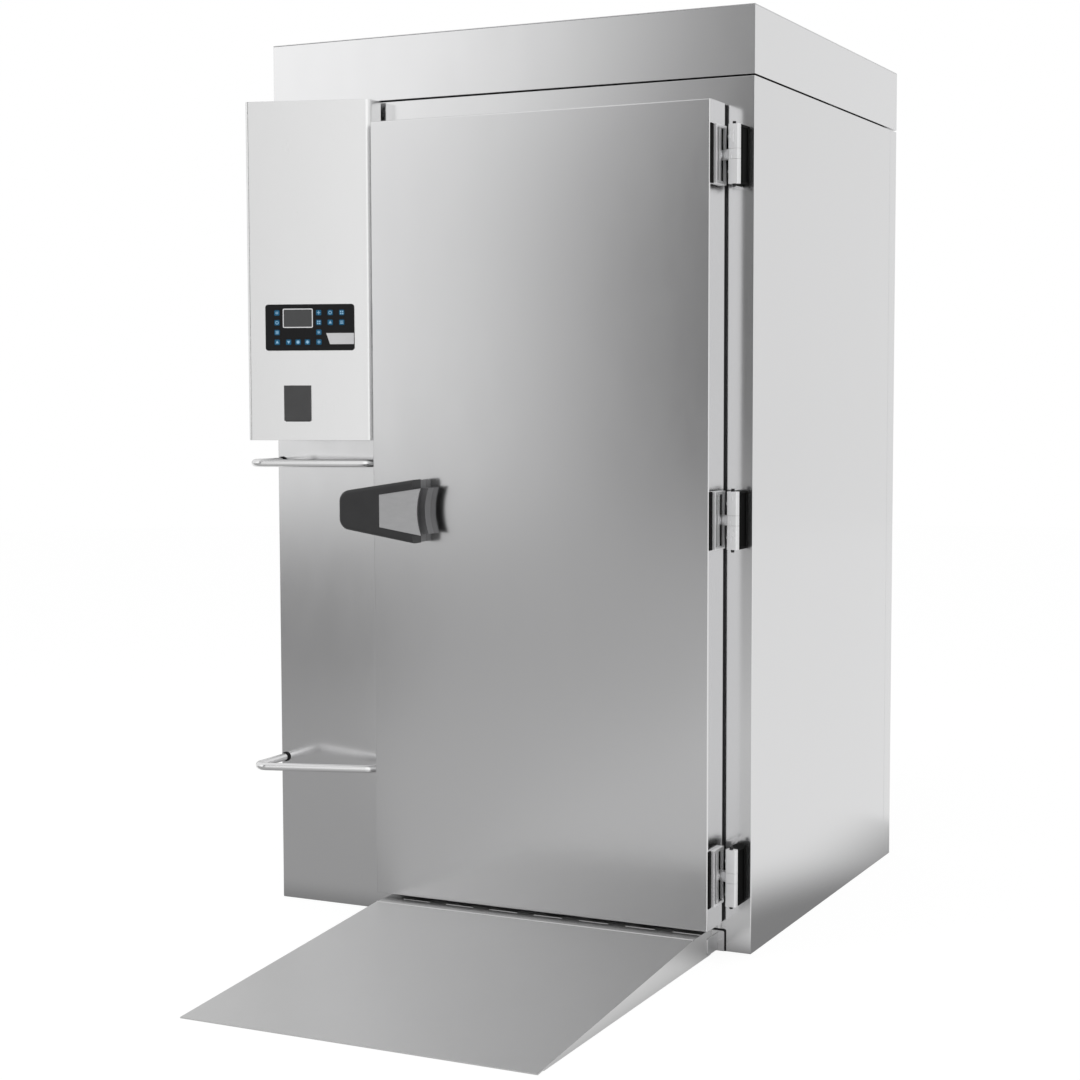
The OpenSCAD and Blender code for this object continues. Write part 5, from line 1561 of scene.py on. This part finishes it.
bpy.ops.mesh.primitive_circle_add(vertices=96, radius=16, fill_type="NGON", location=(0, 0, -0.0005))
floor = settle(bpy.context.object)
floor.name = "studio_floor"
floor.data.materials.append(studio_floor)
floor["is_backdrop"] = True

room = bpy.data.worlds.new("studio_room")
bpy.context.scene.world = room
room.use_nodes = True
tree = room.node_tree
shader = Shader(tree)
seen, glossy = rays(shader)
direction = shader.node("ShaderNodeTexCoord", output=0)
split = shader.node("ShaderNodeSeparateXYZ", inputs={"Vector": direction})
x, y, z = (Shader(tree, output) for output in split.socket.node.outputs)
upper = (
    (-0.56, 1.16), (-0.50, 1.10), (-0.46, 0.92), (-0.42, 0.58), (-0.385, 0.29),
    (-0.35, 0.15), (-0.20, 0.16), (-0.05, 0.97), (0.30, 1.16),
)
above = z.smoothstep(-0.09, -0.035)
top = z.smoothstep(0.10, 0.15)
high_front = (x - top * 0.035).tone_curve(upper) * (top * 0.10 + 1)
front = above * high_front + (1 - above) * low_front(x)
ahead = y.smoothstep(-0.35, -0.75)
edge_shade = y.smoothstep(0.45, 0.75) * x.smoothstep(-0.15, -0.40) * (1 - z.smoothstep(0.05, 0.15) * 0.75)
in_metal = ahead * front + (1 - ahead) * (0.90 - edge_shade * 0.8)
ROOM_LIGHT = 0.62
level = seen + (1 - seen) * (glossy * in_metal + (1 - glossy) * ROOM_LIGHT)
back = tree.nodes["Background"]
back.inputs["Color"].default_value = (1, 1, 1, 1)
tree.links.new(level.socket, back.inputs["Strength"])


def soft_light(name, place, size, power):
    """A square soft light aimed at the cabinet, not seen in its steel."""
    lamp = bpy.data.lights.new(name, "AREA")
    lamp.size = size
    lamp.energy = power
    holder = bpy.data.objects.new(name, lamp)
    holder.location = place
    holder.rotation_mode = "QUATERNION"
    holder.rotation_quaternion = (Vector(place) - Vector((0, 0, 1.2))).to_track_quat("Z", "Y")
    holder.visible_glossy = False
    bpy.context.scene.collection.objects.link(holder)
    holder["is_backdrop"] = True


soft_light("overhead_light", (0.4, -1.2, 4.6), 3.0, 42)
soft_light("front_left_light", (-3.4, -4.2, 3.2), 2.4, 60)

LENS = 67.76
YAW, PITCH, ROLL = math.radians(25.776), math.radians(4.238), math.radians(-0.16)
forward = Vector((-math.sin(YAW) * math.cos(PITCH), math.cos(YAW) * math.cos(PITCH), -math.sin(PITCH)))
right = Vector((math.cos(YAW), math.sin(YAW), 0))
up = right.cross(forward)
right, up = (
    right * math.cos(ROLL) + up * math.sin(ROLL),
    up * math.cos(ROLL) - right * math.sin(ROLL),
)
lens = bpy.data.cameras.new("photo_camera")
lens.lens = LENS
lens.sensor_width = 36
lens.clip_end = 200
camera = bpy.data.objects.new("photo_camera", lens)
camera.matrix_world = Matrix.Translation((2.4499, -5.4765, 1.4466)) @ Matrix(
    (right, up, -forward)
).transposed().to_4x4()
bpy.context.scene.collection.objects.link(camera)
bpy.context.scene.camera = camera
bpy.context.scene.view_settings.view_transform = "Standard"

deselect()
low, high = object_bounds()
